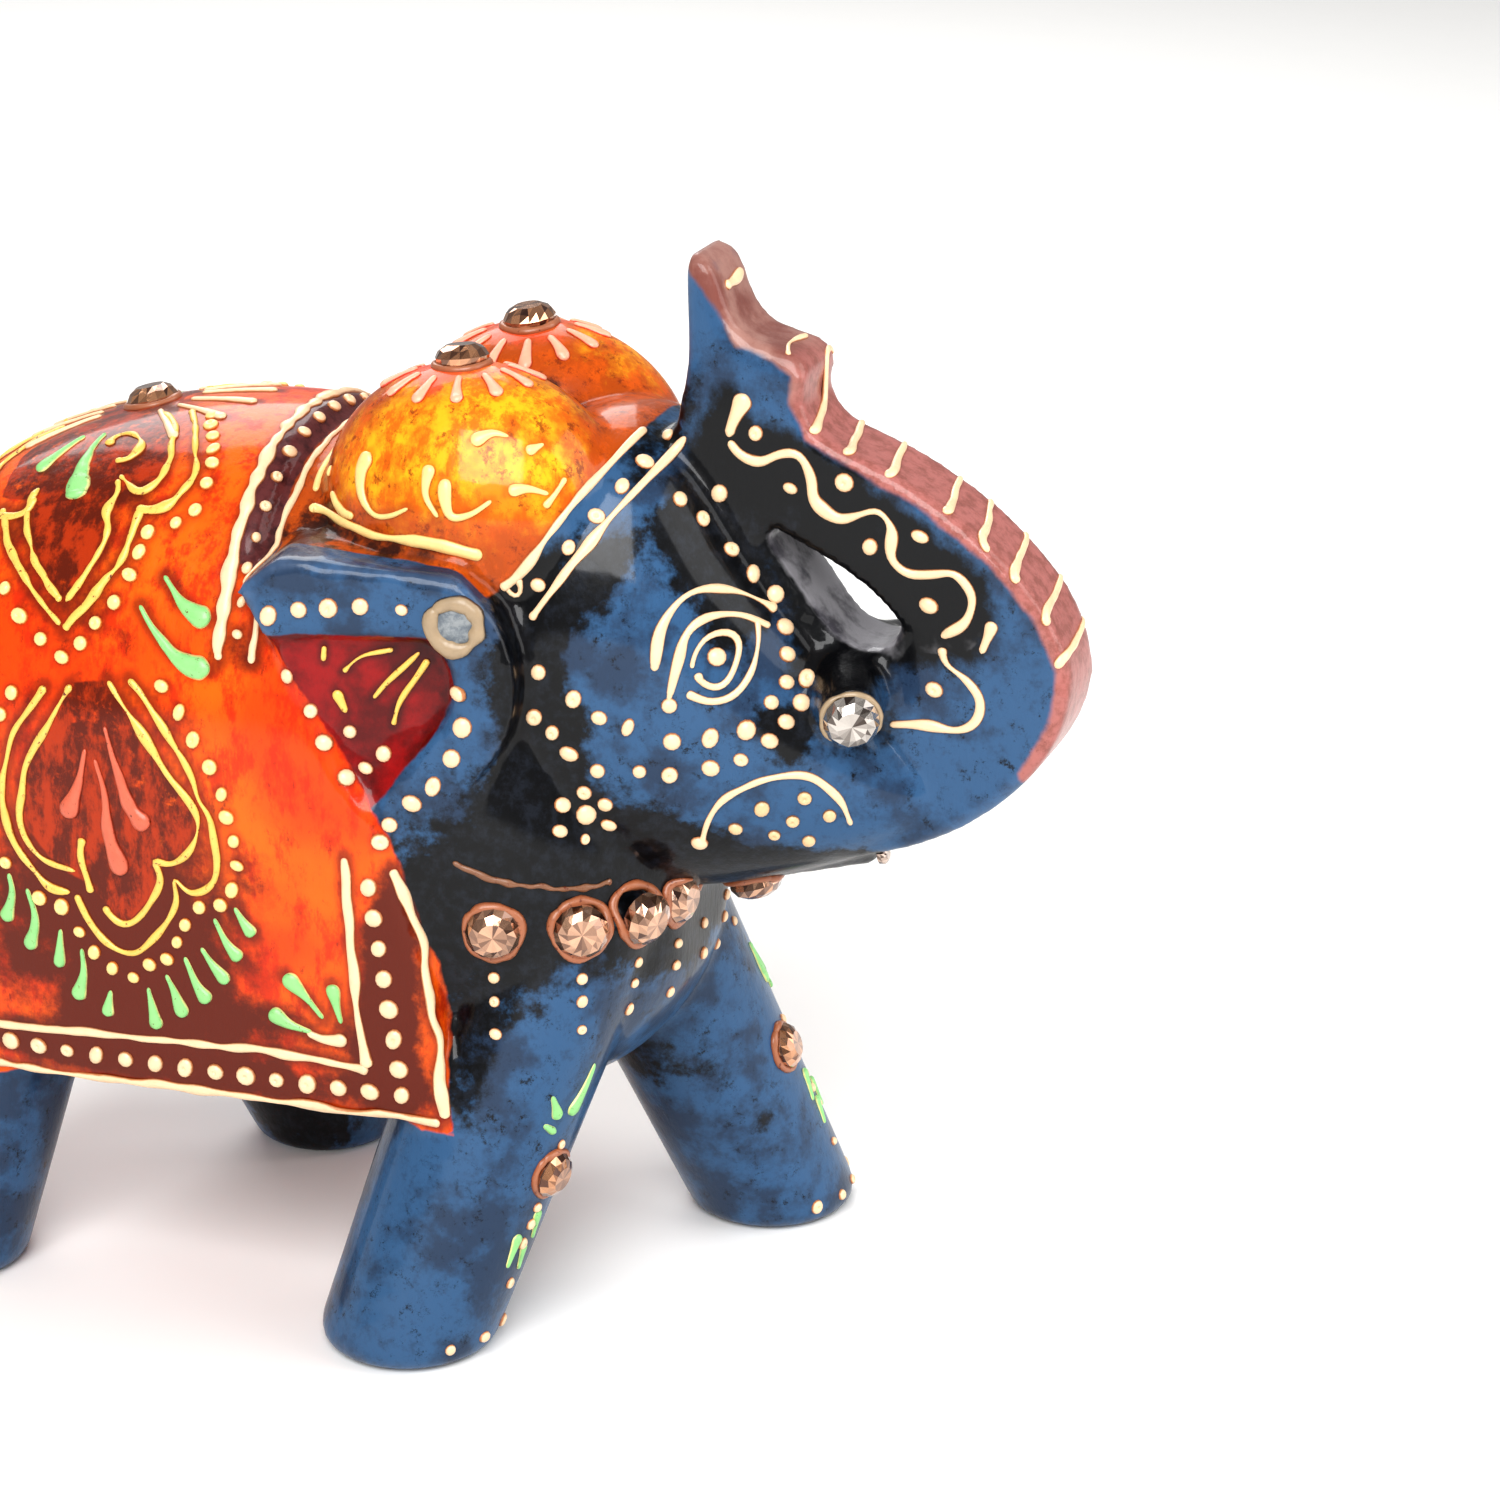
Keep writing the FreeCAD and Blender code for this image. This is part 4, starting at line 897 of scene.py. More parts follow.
# on the back: x and the turn down the side in degrees
SADDLE_LINES = [
    [(-28.7, 8), (-26.5, 12), (-25.0, 18), (-24.2, 22), (-24.4, 26), (-26.0, 28.5), (-28.7, 25)],
    [(-25.8, 8), (-23.6, 14), (-22.4, 19), (-21.3, 24), (-22.0, 29), (-23.6, 31.5), (-25.8, 31.8)],
    [(-28.7, 26), (-28.2, 28.5), (-28.6, 32), (-28.0, 36), (-28.8, 42), (-30.9, 49)],
    [(-36.8, 27), (-37.3, 31), (-35.6, 39), (-33.2, 45), (-30.9, 49)],
    [(-25.3, 31), (-25.4, 35), (-25.8, 40), (-27.2, 45), (-30.7, 54)],
    [(-40.0, 31), (-39.0, 35), (-37.2, 41), (-34.4, 47), (-30.7, 53)],
    [(-36.8, 29), (-37.6, 32.5), (-40.4, 32), (-43.0, 26), (-43.8, 18), (-41.8, 10), (-39.5, 6)],
    [(-31.6, 18), (-31.4, 15.5), (-30.0, 15), (-28.2, 18), (-28.6, 21.5), (-30.3, 22)],
    [(-45.8, 27), (-46.4, 18), (-44.6, 9), (-41.8, 3)],
]
SADDLE_DROPS = [([(-33.0, 14), (-33.2, 21), (-32.4, 30)], 1.75),
                ([(-35.2, 14), (-36.6, 18), (-38.2, 23)], 1.1)]
SADDLE_DOTS = [(-23.1, 10), (-22.4, 13), (-21.4, 16), (-20.6, 19), (-20.0, 22), (-19.7, 26), (-19.9, 31),
               (-21.4, 33.5), (-23.9, 35.5), (-24.3, 39), (-24.8, 43), (-25.9, 48), (-27.5, 52),
               (-28.8, 56), (-30.6, 59), (-37.4, 47), (-35.4, 52), (-32.9, 56)]
# on the domes, in side view
DOME_LINES = [
    [(14.5, 82.0), (14.0, 80.7), (13.1, 79.4)],
    [(-10.7, 80.2), (-10.6, 78.6), (-10.1, 77.4)],
    [(-7.6, 78.6), (-5.9, 77.2), (-4.2, 77.2)],
    [(-10.6, 76.5), (-6.0, 76.2), (-1.0, 76.1), (4.0, 76.0), (8.4, 75.3)],
]
DOME_DROPS = [([(1.7, 79.0), (-0.2, 78.1), (-1.9, 77.9), (-3.3, 79.2), (-3.6, 81.4), (-2.8, 83.0)], 0.95),
              ([(4.5, 78.4), (3.2, 80.4), (3.4, 83.0)], 0.9),
              ([(9.1, 80.3), (7.4, 79.0), (5.6, 78.7), (5.0, 80.4), (4.9, 82.0)], 0.75),
              ([(13.6, 80.6), (11.8, 81.2), (10.3, 81.0)], 0.8),
              ([(9.8, 85.2), (8.2, 85.5), (6.6, 84.8)], 1.0),
              ([(12.6, 84.6), (11.2, 84.0)], 0.8), ([(-7.9, 80.6), (-8.3, 79.4)], 0.8)]


def mirrored(function):
    """Do something on the right side and then on the left."""
    for side in (-1, 1):
        function(side)


def border_lines(tube):
    """Two lines of paste that frame the hanging cloth on its front, foot and rear edges."""
    def draw(side):
        view = side_view(side)
        tube.line(view, [(-3.0, 48.2), (-2.8, 42.3), (-2.4, 34.6), (-1.6, 28.2)], 1.1)
        tube.line(view, [(-1.3, 27.9), (-8.0, 28.3), (-17.9, 28.2), (-28.2, 27.7), (-38.9, 26.9),
                         (-44.4, 26.6)], 1.0)
        tube.line(view, [(-44.3, 26.4), (-44.6, 40.0), (-44.4, 57.0)])
        tube.line(view, [(1.2, 47.6), (2.5, 43.8), (4.0, 38.5), (5.0, 30.5), (5.6, 23.8)], 1.25)
        tube.line(view, [(5.3, 23.6), (-8.2, 23.6), (-23.2, 23.3), (-39.9, 22.8), (-48.6, 22.6)], 1.25)
        tube.line(view, [(-49.3, 22.6), (-49.4, 40.0), (-48.9, 57.0)], 1.2)
    mirrored(draw)


def border_dots(tube):
    """A row of dots between the two lines of the cloth's border."""
    def draw(side):
        view = side_view(side)
        tube.dots(view, np.linspace((-0.8, 45.6), (1.5, 28.4), 7), 1.08)
        tube.dots(view, np.linspace((1.7, 25.9), (-46.8, 25.2), 17), 1.0)
        tube.dots(view, np.linspace((-46.9, 28.4), (-46.9, 56.0), 10), 1.0)
    mirrored(draw)


def side_medallion(tube):
    """The onion-shaped double outline on the hanging cloth."""
    def draw(side):
        for corners in MEDALLION_LINES:
            tube.line(side_view(side), corners, 0.9)
    mirrored(draw)


def saddle_ornament(tube):
    """Lobes and a pointed leaf that run down each side from the stone on the back."""
    def draw(side):
        for corners in SADDLE_LINES:
            tube.line(round_back(side), corners, 0.95)
    mirrored(draw)


def neck_lines(tube):
    """A thick line on the cloth's front edge and a thin one before it, across the neck."""
    for x, width in ((-15.2, 1.5), (-12.0, 0.75)):
        ridge = [(x, turn) for turn in range(-56, 57, 4)]
        tube.line(round_back(1), ridge, width)


def headband_lines(tube):
    """The two lines of the headband, with looped lower ends."""
    def draw(side):
        view = side_view(side)
        tube.line(view, STRIP_REAR, 1.05)
        tube.line(view, STRIP_FRONT, 1.05)
        tube.line(view, [(9.6, 72.6), (10.4, 71.4), (11.2, 71.9), (11.0, 73.2)], 0.8)
    mirrored(draw)


def eye_lines(tube):
    """Brow, the pointed outline of the eye with its tail, and the ring round the pupil."""
    def draw(side):
        view = side_view(side)
        tube.line(view, BROW, 1.0)
        tube.line(view, EYE_TOP, 1.0)
        tube.line(view, EYE_LOW, 0.8)
        tube.line(view, EYE_RING, 0.8)
        tube.dots(view, [(24.0, 62.4)], 0.75)
    mirrored(draw)


def jaw_lines(tube):
    """An arch on the lower cheek that starts with a blob."""
    def draw(side):
        tube.line(side_view(side), JAW_ARC, 0.8)
        tube.dots(side_view(side), [JAW_ARC[0]], 0.95)
    mirrored(draw)


def trunk_wave(tube):
    """The wavy line down the trunk, which starts as a drop, and the hook below it."""
    def draw(side):
        view = side_view(side)
        tube.drop(view, [(26.2, 84.2), (26.7, 85.9), (27.8, 88.4)], 1.05, 0.45)
        tube.line(view, TRUNK_WAVE, 1.15)
        tube.line(view, TRUNK_HOOK, 1.0)
        tube.drop(view, [(49.2, 67.0), (50.4, 70.2)], 0.8, 0.35)
    mirrored(draw)


def trunk_stripes(tube):
    """Rungs across the outside of the trunk, each ending in a dab, and two dabs at its tip."""
    for x in (33.9, 37.0, 40.8, 46.0):
        tube.drop(from_above(1), [(x - 1.5, 4.2), (x - 0.7, 0.0), (x - 0.1, -3.6), (x - 0.6, -4.3)],
                  0.55, 0.32)
    for z in (77.4, 74.8, 71.3, 67.6):
        tube.drop(from_ahead(1), [(4.2, z + 0.9), (0.0, z + 0.3), (-3.6, z - 0.2), (-4.2, z - 1.2)],
                  0.55, 0.32)
    tube.line(from_ahead(1), [(2.4, 97.4), (0.6, 97.0), (-2.2, 96.9)], 1.3)
    tube.line(from_above(1), [(31.4, -3.6), (30.4, -1.0), (30.8, 2.6)], 0.8)


def necklace_lines(tube):
    """The wavy line over the necklace, on each side of the neck."""
    def draw(side):
        tube.line(round_chest(side), [(73, 48.2), (68, 47.2), (62, 46.4), (53, 45.8), (44, 45.1),
                                      (36, 45.2)], 0.8)
    mirrored(draw)


def ear_rays(tube):
    """Thin rays from the ear's stone into its hollow."""
    def draw(side):
        view = side_view(side)
        for corners in ([(3.4, 67.0), (0.6, 64.2), (-1.0, 62.2)], [(4.2, 66.2), (2.2, 63.4), (0.8, 60.0)],
                        [(1.4, 67.2), (-1.6, 66.4), (-3.2, 64.6)], [(-4.8, 67.4), (-5.0, 65.6)]):
            tube.line(view, corners, 0.6)
        tube.drop(view, [(-3.2, 61.0), (-4.0, 63.2)], 0.7, 0.3)
    mirrored(draw)


def dome_strokes(tube):
    """Commas and curls round each dome."""
    def draw(side):
        for corners in DOME_LINES:
            tube.line(side_view(side), corners, 1.15)
        for corners, head in DOME_DROPS:
            tube.drop(side_view(side), corners, head)
    mirrored(draw)


def dome_petals(tube):
    """A ring of petals round the stone on each dome."""
    def draw(side):
        for turn in np.radians(np.arange(15, 375, 30)):
            way = np.array((math.cos(turn), 0.82 * math.sin(turn)))
            centre = np.array((2.6, 7.6))
            tube.drop(from_above(side), [centre + 3.9 * way, centre + 5.6 * way, centre + 7.6 * way],
                      0.85, 0.35)
    mirrored(draw)


def back_petals(tube):
    """Long thin petals that run forward and back from the stone on the ridge."""
    def draw(side):
        for turn in (8, 30, 54, 150, 172):
            way = np.array((math.cos(math.radians(turn)), math.sin(math.radians(turn)) * 0.9))
            middle = np.array((-32.0, 0.6))
            tube.drop(from_above(side), [middle + 4.4 * way, middle + 8.0 * way, middle + 12.0 * way],
                      0.6, 0.3)
    mirrored(draw)


def leg_leaves(tube):
    """Green leaves above and below the stone on each front leg."""
    for side, lift in ((-1, 0.0), (1, 1.0)):
        view = from_ahead(side)
        for corners, head in (([(14.4, 28.0), (15.2, 25.4), (16.4, 23.2)], 0.95),
                              ([(18.4, 26.0), (17.6, 23.4)], 0.8),
                              ([(19.0, 23.2), (17.6, 22.0)], 0.65), ([(17.2, 10.8), (17.6, 14.2)], 0.75),
                              ([(20.4, 9.0), (19.6, 12.4)], 0.75), ([(18.4, 8.0), (18.6, 11.0)], 0.6)):
            tube.drop(view, np.array(corners) + (0, lift), head, 0.25)


def necklace_drops(tube):
    """Columns of small dots under the necklace's stones."""
    def draw(side):
        for turn in (64, 45, 30, 16):
            tube.dots(round_chest(side), [(turn, 37.0), (turn, 34.8), (turn, 32.0)], 0.68)
    mirrored(draw)
    tube.dots(round_chest(1), [(0, 36.6), (0, 33.6)], 0.68)


def leg_dots(tube):
    """Small dots down the front of each front leg."""
    def draw(side):
        tube.dots(from_ahead(side), [(17.9, 14.4), (18.3, 12.8), (18.8, 11.0), (19.2, 7.0), (16.6, 20.4)],
                  0.62)
    mirrored(draw)


def toe_dots(tube):
    """Toenails: dots round the front of each foot."""
    def draw(side):
        for ahead in (-5.4, -2.0, 1.6, 5.0):
            tube.dots(from_ahead(side), [(19.6 + ahead, 2.2)], 0.8)
        hind_x = -37.1 + 11.2 * side
        tube.dots(side_view(side), [(hind_x + 6.6, 2.2), (hind_x + 4.6, 2.0), (hind_x + 2.0, 2.0)], 0.8)
    mirrored(draw)


def neck_dots(tube):
    """Dots in the band across the neck."""
    tube.dots(round_back(1), [(-13.6, turn) for turn in np.linspace(-51, 51, 19)], 0.72)


def both_sides(places, size):
    """A way of laying the same side-view dots on both sides."""
    def lay(tube):
        for side in (-1, 1):
            tube.dots(side_view(side), places, size)
    return lay


def rosette(tube):
    """A flower of dots on the cheek."""
    turns = np.radians(np.arange(30, 390, 60))
    petals = np.stack([ROSETTE[0] + 2.0 * np.cos(turns), ROSETTE[1] + 2.2 * np.sin(turns)], -1)
    both_sides([ROSETTE], 1.35)(tube)
    both_sides(petals, 0.85)(tube)


def saddle_dots(tube):
    """Dots along the outside of the ornament on the back."""
    for side in (-1, 1):
        tube.dots(round_back(side), SADDLE_DOTS, 0.85)


def drops_on_sides(paths, head):
    """A way of laying the same side-view drops on both sides."""
    def lay(tube):
        for side in (-1, 1):
            for corners in paths:
                tube.drop(side_view(side), corners, head)
    return lay


def saddle_drops(tube):
    """The large drops inside the ornament on the back."""
    for side in (-1, 1):
        for corners, head in SADDLE_DROPS:
            tube.drop(round_back(side), corners, head)


def cloth_leaves(tube):
    """The fringe of drops round each medallion, the leaves in the corner and two commas."""
    for paths, head in ((FRINGE, 0.95), (CORNER_LEAVES, 1.15), (COMMAS, 1.35)):
        drops_on_sides(paths, head)(tube)


def corner_stroke(tube):
    """A cream stroke that runs from the corner's leaves into the border."""
    for side in (-1, 1):
        tube.drop(side_view(side), [(-7.4, 30.9), (-5.6, 30.4), (-3.3, 30.6)], 0.8, 0.4)


# name: (how it is laid, paste, CAD nodes that it stands for)
LINE_WORK = {
    "border_lines": (border_lines, "cream", ["cloth_border_lines"]),
    "side_medallion_outline": (side_medallion, "yellow", ["side_medallion_lines"]),
    "saddle_ornament_outline": (saddle_ornament, "yellow", ["saddle_lines"]),
    "neck_band_lines": (neck_lines, "cream", ["neck_lines"]),
    "headband_outline": (headband_lines, "cream", ["headband_lines"]),
    "eye_outline": (eye_lines, "cream", ["eye_lines"]),
    "jaw_arch": (jaw_lines, "cream", ["jaw_lines"]),
    "trunk_wave": (trunk_wave, "cream", ["trunk_wave_lines"]),
    "trunk_rungs": (trunk_stripes, "cream", ["trunk_stripes"]),
    "necklace_wave": (necklace_lines, "tarnish", ["necklace_lines"]),
    "ear_ray_lines": (ear_rays, "yellow", ["ear_rays"]),
    "dome_curls": (dome_strokes, "pale", ["dome_strokes"]),
}
DROP_WORK = {
    "dome_petals": (dome_petals, "blush", ["dome_petals"]),
    "back_petals": (back_petals, "cream", ["back_petals"]),
    "medallion_petals": (drops_on_sides(MEDALLION_PETALS, 1.3), "rose", ["medallion_petals"]),
    "cloth_leaves": (cloth_leaves, "green", ["cloth_drops"]),
    "corner_stroke": (corner_stroke, "cream", []),
    "saddle_drops": (saddle_drops, "green", ["saddle_drops"]),
    "leg_leaves": (leg_leaves, "green", ["leg_leaves"]),
}
DOT_WORK = {
    "border_dots": (border_dots, "cream", ["cloth_border_dots"]),
    "ear_rim_beads": (both_sides(EAR_RIM_DOTS, 1.05), "cream", ["ear_rim_dots"]),
    "ear_hollow_beads": (both_sides(EAR_INNER_DOTS, 0.85), "cream", ["ear_inner_dots"]),
    "cheek_beads": (both_sides(CHEEK_DOTS, 0.95), "cream", ["cheek_dots"]),
    "rosette": (rosette, "cream", ["rosette_dots"]),
    "jaw_beads": (both_sides(JAW_DOTS, 0.8), "sand", ["jaw_dots"]),
    "trunk_beads": (both_sides(TRUNK_DOTS, 0.95), "cream", ["trunk_dots"]),
    "headband_beads": (both_sides([(12.6, 72.6), (15.0, 75.9), (16.9, 78.4), (18.4, 80.6), (19.5, 82.2),
                                   (20.4, 83.8)], 0.85), "cream", ["headband_dots"]),
    "eye_pupils": (both_sides([(27.5, 66.5)], 0.95), "cream", ["eye_dots"]),
    "neck_band_beads": (neck_dots, "cream", ["neck_dots"]),
    "necklace_beads": (necklace_drops, "cream", ["necklace_drops"]),
    "front_leg_beads": (leg_dots, "cream", ["front_leg_dots"]),
    "toenails": (toe_dots, "cream", ["toe_dots"]),
    "medallion_beads": (both_sides(MEDALLION_DOTS, 0.85), "pale", ["medallion_dots"]),
    "saddle_beads": (saddle_dots, "pale", ["saddle_dots"]),
}

# CAD node of stones: (piece, CAD rings, how thick the ring of paste is, how warm the stone looks)
STONE_WORK = {
    "dome_stones": ("dome_crystals", "dome_rings", 0.8, 0.95),
    "back_stone": ("back_crystal", "back_ring", 0.8, 0.95),
    "ear_stone_left": ("left_ear_crystal", "ear_ring_left", 1.7, 0.1),
    "necklace_stones": ("necklace_crystals", "necklace_rings", 1.2, 0.75),
    "front_leg_stones": ("leg_crystals", "front_leg_rings", 0.9, 0.95),
    "tusk_stones": ("tusk_crystals", "tusk_rings", 0.8, 0.0),
    "lip_stone": ("lip_crystal", None, 0.8, 0.3),
}
MADE = {"skin": None, "wood": None, "trails": []}


def loose_parts(node):
    """The points of each loose part of a CAD node, in millimetres.

    Points at one place count as one. Each point takes the lowest number among the points that
    it shares a triangle with, over and over, until nothing changes.
    """
    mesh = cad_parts[node].data
    points = np.zeros(len(mesh.vertices) * 3, np.float32)
    mesh.vertices.foreach_get("co", points)
    corners = np.zeros(len(mesh.loops), np.int64)
    mesh.loops.foreach_get("vertex_index", corners)
    places, number = np.unique(np.round(points.reshape(-1, 3) / MM, 2), axis=0, return_inverse=True)
    triangles = number.ravel()[corners].reshape(-1, 3)
    label = np.arange(len(places))
    before = None
    while before is None or (before != label).any():
        before = label.copy()
        np.minimum.at(label, triangles.ravel(), np.repeat(label[triangles].min(1), 3))
        label = label[label]
    return [places[label == part] for part in np.unique(label)]


def cut_stone(heap, seat, radius, cuts, random):
    """A cut stone: rings of corners at the girdle, the crown and the table.

    The crown's corners stand in and out by turns, so that the facets between the rings tilt
    different ways.
    """
    point, normal = seat
    side = unit(np.cross(normal, (0.3, 0.8, 0.52)))
    ahead = np.cross(normal, side)
    turn = np.linspace(0, 2 * np.pi, cuts, endpoint=False)
    by_turns = np.where(np.arange(cuts) % 2 == 0, 1.0, 0.0)
    reach = np.stack([np.full(cuts, 0.94), np.full(cuts, 1.0), 0.80 + 0.06 * by_turns,
                      np.full(cuts, 0.54)]) * radius
    level = np.stack([np.full(cuts, -0.22), np.full(cuts, 0.18), 0.42 + 0.06 * (1 - by_turns),
                      np.full(cuts, 0.62)]) * radius
    wheel = side * np.cos(turn)[:, None] + ahead * np.sin(turn)[:, None]
    rings = point + wheel[None] * reach[..., None] + normal * level[..., None]
    heap.add(rings, point - normal * 0.22 * radius, point + normal * 0.62 * radius, level * 0,
             lambda count: random.random(count) ** 0.8)


# ---- operators ---------------------------------------------------------------------------
class ELEPHANT_OT_stage(bpy.types.Operator):
    """Set up the camera, the floor and soft studio light"""

    bl_idname = "elephant.stage"
    bl_label = "Stage"

    def execute(self, context):
        s = context.scene.elephant_stage
        back = Vector((math.sin(s.azimuth) * math.cos(s.elevation),
                       -math.cos(s.azimuth) * math.cos(s.elevation), math.sin(s.elevation)))
        target = Vector((s.look_ahead, 0, s.look_height))
        camera_data = bpy.data.cameras.new("camera")
        camera_data.lens = s.lens
        camera_data.sensor_width = 36.0
        camera_data.clip_start = 0.01
        camera = bpy.data.objects.new("camera", camera_data)
        camera.location = target + back * s.distance
        camera.rotation_euler = back.to_track_quat("Z", "Y").to_euler()
        context.scene.collection.objects.link(camera)
        context.scene.camera = camera
        self.light(context, "key", (0.12, -0.62, 0.55), 0.55, s.key_power)
        self.light(context, "fill", (0.62, 0.10, 0.35), 0.6, s.fill_power)
        self.light(context, "rim", (-0.35, 0.45, 0.55), 0.5, s.fill_power)
        world = bpy.data.worlds.new("room")
        world.use_nodes = True
        world.node_tree.nodes["Background"].inputs["Color"].default_value = (1, 1, 1, 1)
        world.node_tree.nodes["Background"].inputs["Strength"].default_value = s.sky
        context.scene.world = world
        context.scene.view_settings.view_transform = "Standard"
        context.scene.view_settings.look = "Medium High Contrast"
        self.floor(context, s)
        return {"FINISHED"}

    def light(self, context, name, place, size, power):
        data = bpy.data.lights.new(name, "AREA")
        data.energy = power
        data.size = size
        lamp = bpy.data.objects.new(name, data)
        lamp.location = place
        aim = Vector(place) - Vector((0, 0, 0.05))
        lamp.rotation_euler = aim.to_track_quat("Z", "Y").to_euler()
        context.scene.collection.objects.link(lamp)

    def floor(self, context, settings):
        """A round sheet: rings of points widen evenly and stay level."""
        turn = np.linspace(0, 2 * np.pi, 48, endpoint=False)
        radii = np.array((0.2, 1.0, 3.0))
        rings = np.stack([radii[:, None] * np.cos(turn), radii[:, None] * np.sin(turn),
                          np.full((3, 48), -0.00005)], -1).reshape(-1, 3)
        k = np.roll(np.arange(48), -1)
        faces = [tuple(range(48))]
        for ring in (0, 1):
            low, high = ring * 48, (ring + 1) * 48
            faces += [(low + j, high + j, high + k[j], low + k[j]) for j in range(48)]
        mesh = bpy.data.meshes.new("floor")
        mesh.from_pydata(rings.tolist(), [], [tuple(int(v) for v in f) for f in faces])
        f = Finish("floor_paper")
        f.set(Base_Color=f.blend(f.noise(9.0), settings.floor, tuple(0.985 * c for c in settings.floor)),
              Roughness=0.8)
        mesh.materials.append(f.material)
        floor = bpy.data.objects.new("floor", mesh)
        context.scene.collection.objects.link(floor)


class ELEPHANT_OT_wood(bpy.types.Operator):
    """Soften the carved block and paint it"""

    bl_idname = "elephant.wood"
    bl_label = "Painted wood"

    def execute(self, context):
        s = context.scene.elephant_wood
        wood = bpy.data.objects.new("painted_wood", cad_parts["carved_block"].data.copy())
        context.scene.collection.objects.link(wood)
        wood.data.materials.clear()
        weld = wood.modifiers.new("weld", "WELD")
        weld.merge_threshold = 0.01 * MM
        remesh = wood.modifiers.new("carving", "REMESH")
        remesh.mode = "VOXEL"
        remesh.voxel_size = s.grain
        sand = wood.modifiers.new("sanding", "SMOOTH")
        sand.factor = 0.5
        sand.iterations = s.softness
        graph = context.evaluated_depsgraph_get()
        wood_mesh = bpy.data.meshes.new_from_object(wood.evaluated_get(graph))
        wood.modifiers.clear()
        wood.data = wood_mesh
        if len(wood_mesh.polygons) < 10000:
            raise RuntimeError("the carved block did not come through its softening")
        wood_mesh.polygons.foreach_set("use_smooth", np.ones(len(wood_mesh.polygons), bool))
        for name in [a.name for a in wood_mesh.attributes if a.name in ("sharp_face", "sharp_edge")]:
            wood_mesh.attributes.remove(wood_mesh.attributes[name])
        wood_mesh.materials.clear()
        wood_mesh.materials.append(lacquered_paint(s))
        paint_wood(wood_mesh)
        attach(wood, "root")
        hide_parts("carved_block")
        MADE["wood"] = wood
        MADE["skin"] = WoodSkin(wood_mesh)
        return {"FINISHED"}


def pastes(settings):
    """The paste materials by name."""
    return {
        "cream": paste("cream_paste", settings.cream, rgb(176, 112, 66)),
        "yellow": paste("yellow_paste", settings.yellow, rgb(150, 70, 16), 0.06),
        "pale": paste("pale_yellow_paste", rgb(244, 208, 136), rgb(190, 104, 30)),
        "green": paste("green_paste", settings.green, rgb(232, 226, 150), 0.04),
        "rose": paste("rose_paste", settings.rose, rgb(150, 52, 30), 0.04),
        "blush": paste("blush_paste", rgb(250, 170, 140), rgb(196, 56, 30)),
        "grey": paste("grey_paste", rgb(158, 136, 108), rgb(60, 50, 42)),
        "sand": paste("sand_paste", rgb(226, 186, 140), rgb(120, 78, 46)),
        "tarnish": paste("tarnished_paste", rgb(126, 84, 58), rgb(40, 24, 18), 0.06),
        "copper": paste("copper_paste", settings.copper, rgb(150, 84, 50), 0.06),
    }


def lay_all(context, work, seed):
    """Lay every named piece of a table of paste work."""
    settings = context.scene.elephant_paste
    if MADE["skin"] is None:
        raise RuntimeError("the wood comes before the paste that lies on it")
    if "pastes" not in MADE:
        MADE["pastes"] = pastes(settings)
    for number, (name, (lay, colour, nodes)) in enumerate(work.items()):
        tube = Tube(MADE["skin"], settings, seed + number)
        lay(tube)
        slot = "copper_paste" if colour == "copper" else "cream_paste"
        tube.heap.piece(name, MADE["pastes"][colour], slot, nodes)
        MADE["trails"] += tube.trail


class ELEPHANT_OT_lines(bpy.types.Operator):
    """Squeeze the raised lines onto the wood"""

    bl_idname = "elephant.lines"
    bl_label = "Paste lines"

    def execute(self, context):
        lay_all(context, LINE_WORK, 100)
        return {"FINISHED"}


class ELEPHANT_OT_drops(bpy.types.Operator):
    """Squeeze the petals, leaves and drops onto the wood"""

    bl_idname = "elephant.drops"
    bl_label = "Paste drops"

    def execute(self, context):
        lay_all(context, DROP_WORK, 200)
        return {"FINISHED"}


class ELEPHANT_OT_dots(bpy.types.Operator):
    """Squeeze the dots onto the wood"""

    bl_idname = "elephant.dots"
    bl_label = "Paste dots"

    def execute(self, context):
        lay_all(context, DOT_WORK, 300)
        return {"FINISHED"}


class ELEPHANT_OT_wash(bpy.types.Operator):
    """Let the dark wash gather round the paste"""

    bl_idname = "elephant.wash"
    bl_label = "Dark wash"

    def execute(self, context):
        if not MADE["trails"]:
            raise RuntimeError("the paste comes before the wash that gathers round it")
        darken_round_paste(MADE["wood"], MADE["trails"])
        return {"FINISHED"}


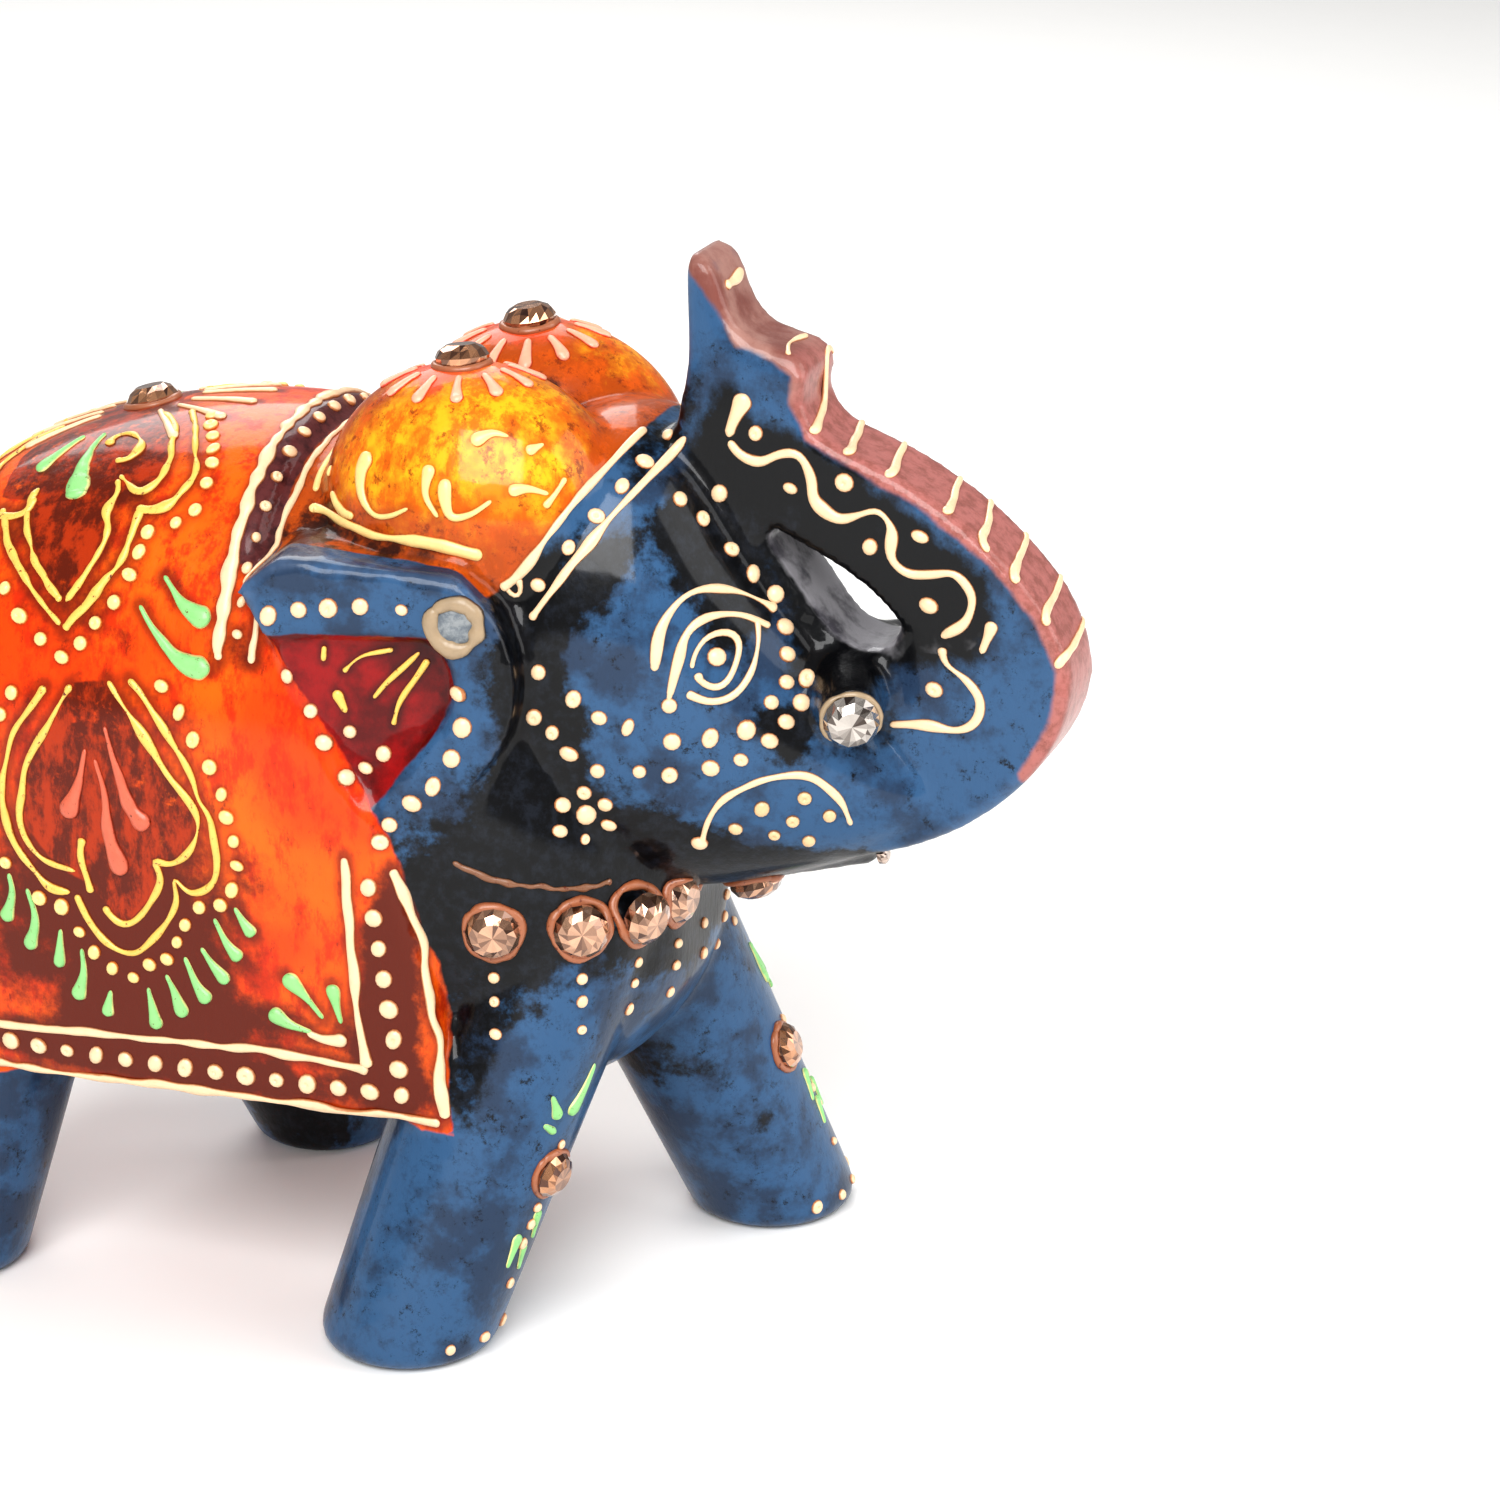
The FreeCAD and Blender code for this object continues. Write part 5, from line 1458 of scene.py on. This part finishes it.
class ELEPHANT_OT_stones(bpy.types.Operator):
    """Cut the glued stones and lay a ring of paste round each"""

    bl_idname = "elephant.stones"
    bl_label = "Stones"

    def execute(self, context):
        s = context.scene.elephant_stone
        random = np.random.default_rng(500)
        for number, (node, (name, ring_node, thickness, warm)) in enumerate(STONE_WORK.items()):
            crystals = Heap()
            tube = Tube(MADE["skin"], context.scene.elephant_paste, 510 + number)
            for part in loose_parts(node):
                seat, radius = fitted_seat(part)
                cut_stone(crystals, seat, radius, s.cuts, random)
                flat = node in ("tusk_stones", "lip_stone")
                turn = (-150, 120) if node == "tusk_stones" else (0, 390)
                if ring_node is not None:
                    tube.ring(seat, radius * 1.02, thickness, flat, turn)
            crystals.piece(name, foiled_crystal(s, name + "_foil", warm), "crystal", [node], smooth=False)
            if ring_node is not None:
                colour = "grey" if warm < 0.2 else "copper"
                tube.heap.piece(name + "_ring", MADE["pastes"][colour], "copper_paste", [ring_node])
        self.lost_stone(context, s)
        return {"FINISHED"}

    def lost_stone(self, context, settings):
        """The right ear's ring and the flat print that its lost stone left in the glue."""
        low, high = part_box("ear_glue_bed_right")
        middle = np.array((low + high) / 2) / MM
        points, normals = MADE["skin"].cast([(middle[0], -BESIDE, middle[2])], [(0, 1, 0)])
        seat = (points[0], unit(normals[0]))
        tube = Tube(MADE["skin"], context.scene.elephant_paste, 560)
        tube.ring(seat, 2.1, 1.9)
        tube.heap.piece("right_ear_ring", MADE["pastes"]["grey"], "copper_paste", ["ear_ring_right"])
        bed = Heap()
        dome_dot(bed, seat[0], seat[1], 1.9, 0.3, 0.0, 0.25)
        bed.piece("right_ear_glue", dried_glue(settings), "glue", ["ear_glue_bed_right"])


def fitted_seat(points):
    """The seat of one stone from the points of its CAD mesh.

    The points spread least along the stone's axis. The end with the smaller reach is its
    table, which faces outwards, and the girdle's reach is its radius.
    """
    middle = (points.min(0) + points.max(0)) / 2
    _, _, axes = np.linalg.svd(points - points.mean(0), full_matrices=False)
    axis = axes[2]
    level = (points - middle) @ axis
    reach = np.linalg.norm(points - middle - level[:, None] * axis, axis=1)
    top = level > level.max() - 0.05
    bottom = level < level.min() + 0.05
    if reach[top].max() > reach[bottom].max():
        axis = -axis
        level = -level
    centre = points[level < level.min() + 0.05].mean(0)
    return (centre + axis * 0.5, axis), float(reach.max())


class ELEPHANT_PT_panel(bpy.types.Panel):
    """Lists what can be made, with its settings"""

    bl_idname = "ELEPHANT_PT_panel"
    bl_label = "Carved elephant"
    bl_space_type = "VIEW_3D"
    bl_region_type = "UI"
    bl_category = "Elephant"

    def draw(self, context):
        scene = context.scene
        for settings in (scene.elephant_stage, scene.elephant_wood, scene.elephant_paste,
                         scene.elephant_stone):
            box = self.layout.box()
            for name in settings.__annotations__:
                box.prop(settings, name)
        for operator in OPERATORS:
            self.layout.operator(operator.bl_idname)


OPERATORS = (ELEPHANT_OT_stage, ELEPHANT_OT_wood, ELEPHANT_OT_lines, ELEPHANT_OT_drops, ELEPHANT_OT_dots,
             ELEPHANT_OT_wash, ELEPHANT_OT_stones)
SETTINGS = {"elephant_stage": ElephantStageSettings, "elephant_wood": ElephantWoodSettings,
            "elephant_paste": ElephantPasteSettings, "elephant_stone": ElephantStoneSettings}


def register():
    for name, group in SETTINGS.items():
        bpy.utils.register_class(group)
        setattr(bpy.types.Scene, name, bpy.props.PointerProperty(type=group))
    for operator in OPERATORS:
        bpy.utils.register_class(operator)
    bpy.utils.register_class(ELEPHANT_PT_panel)


def unregister():
    bpy.utils.unregister_class(ELEPHANT_PT_panel)
    for operator in reversed(OPERATORS):
        bpy.utils.unregister_class(operator)
    for name, group in SETTINGS.items():
        delattr(bpy.types.Scene, name)
        bpy.utils.unregister_class(group)


def main():
    register()
    bpy.ops.elephant.stage()
    bpy.ops.elephant.wood()
    bpy.ops.elephant.lines()
    bpy.ops.elephant.drops()
    bpy.ops.elephant.dots()
    bpy.ops.elephant.wash()
    bpy.ops.elephant.stones()


if __name__ == "__main__":
    main()
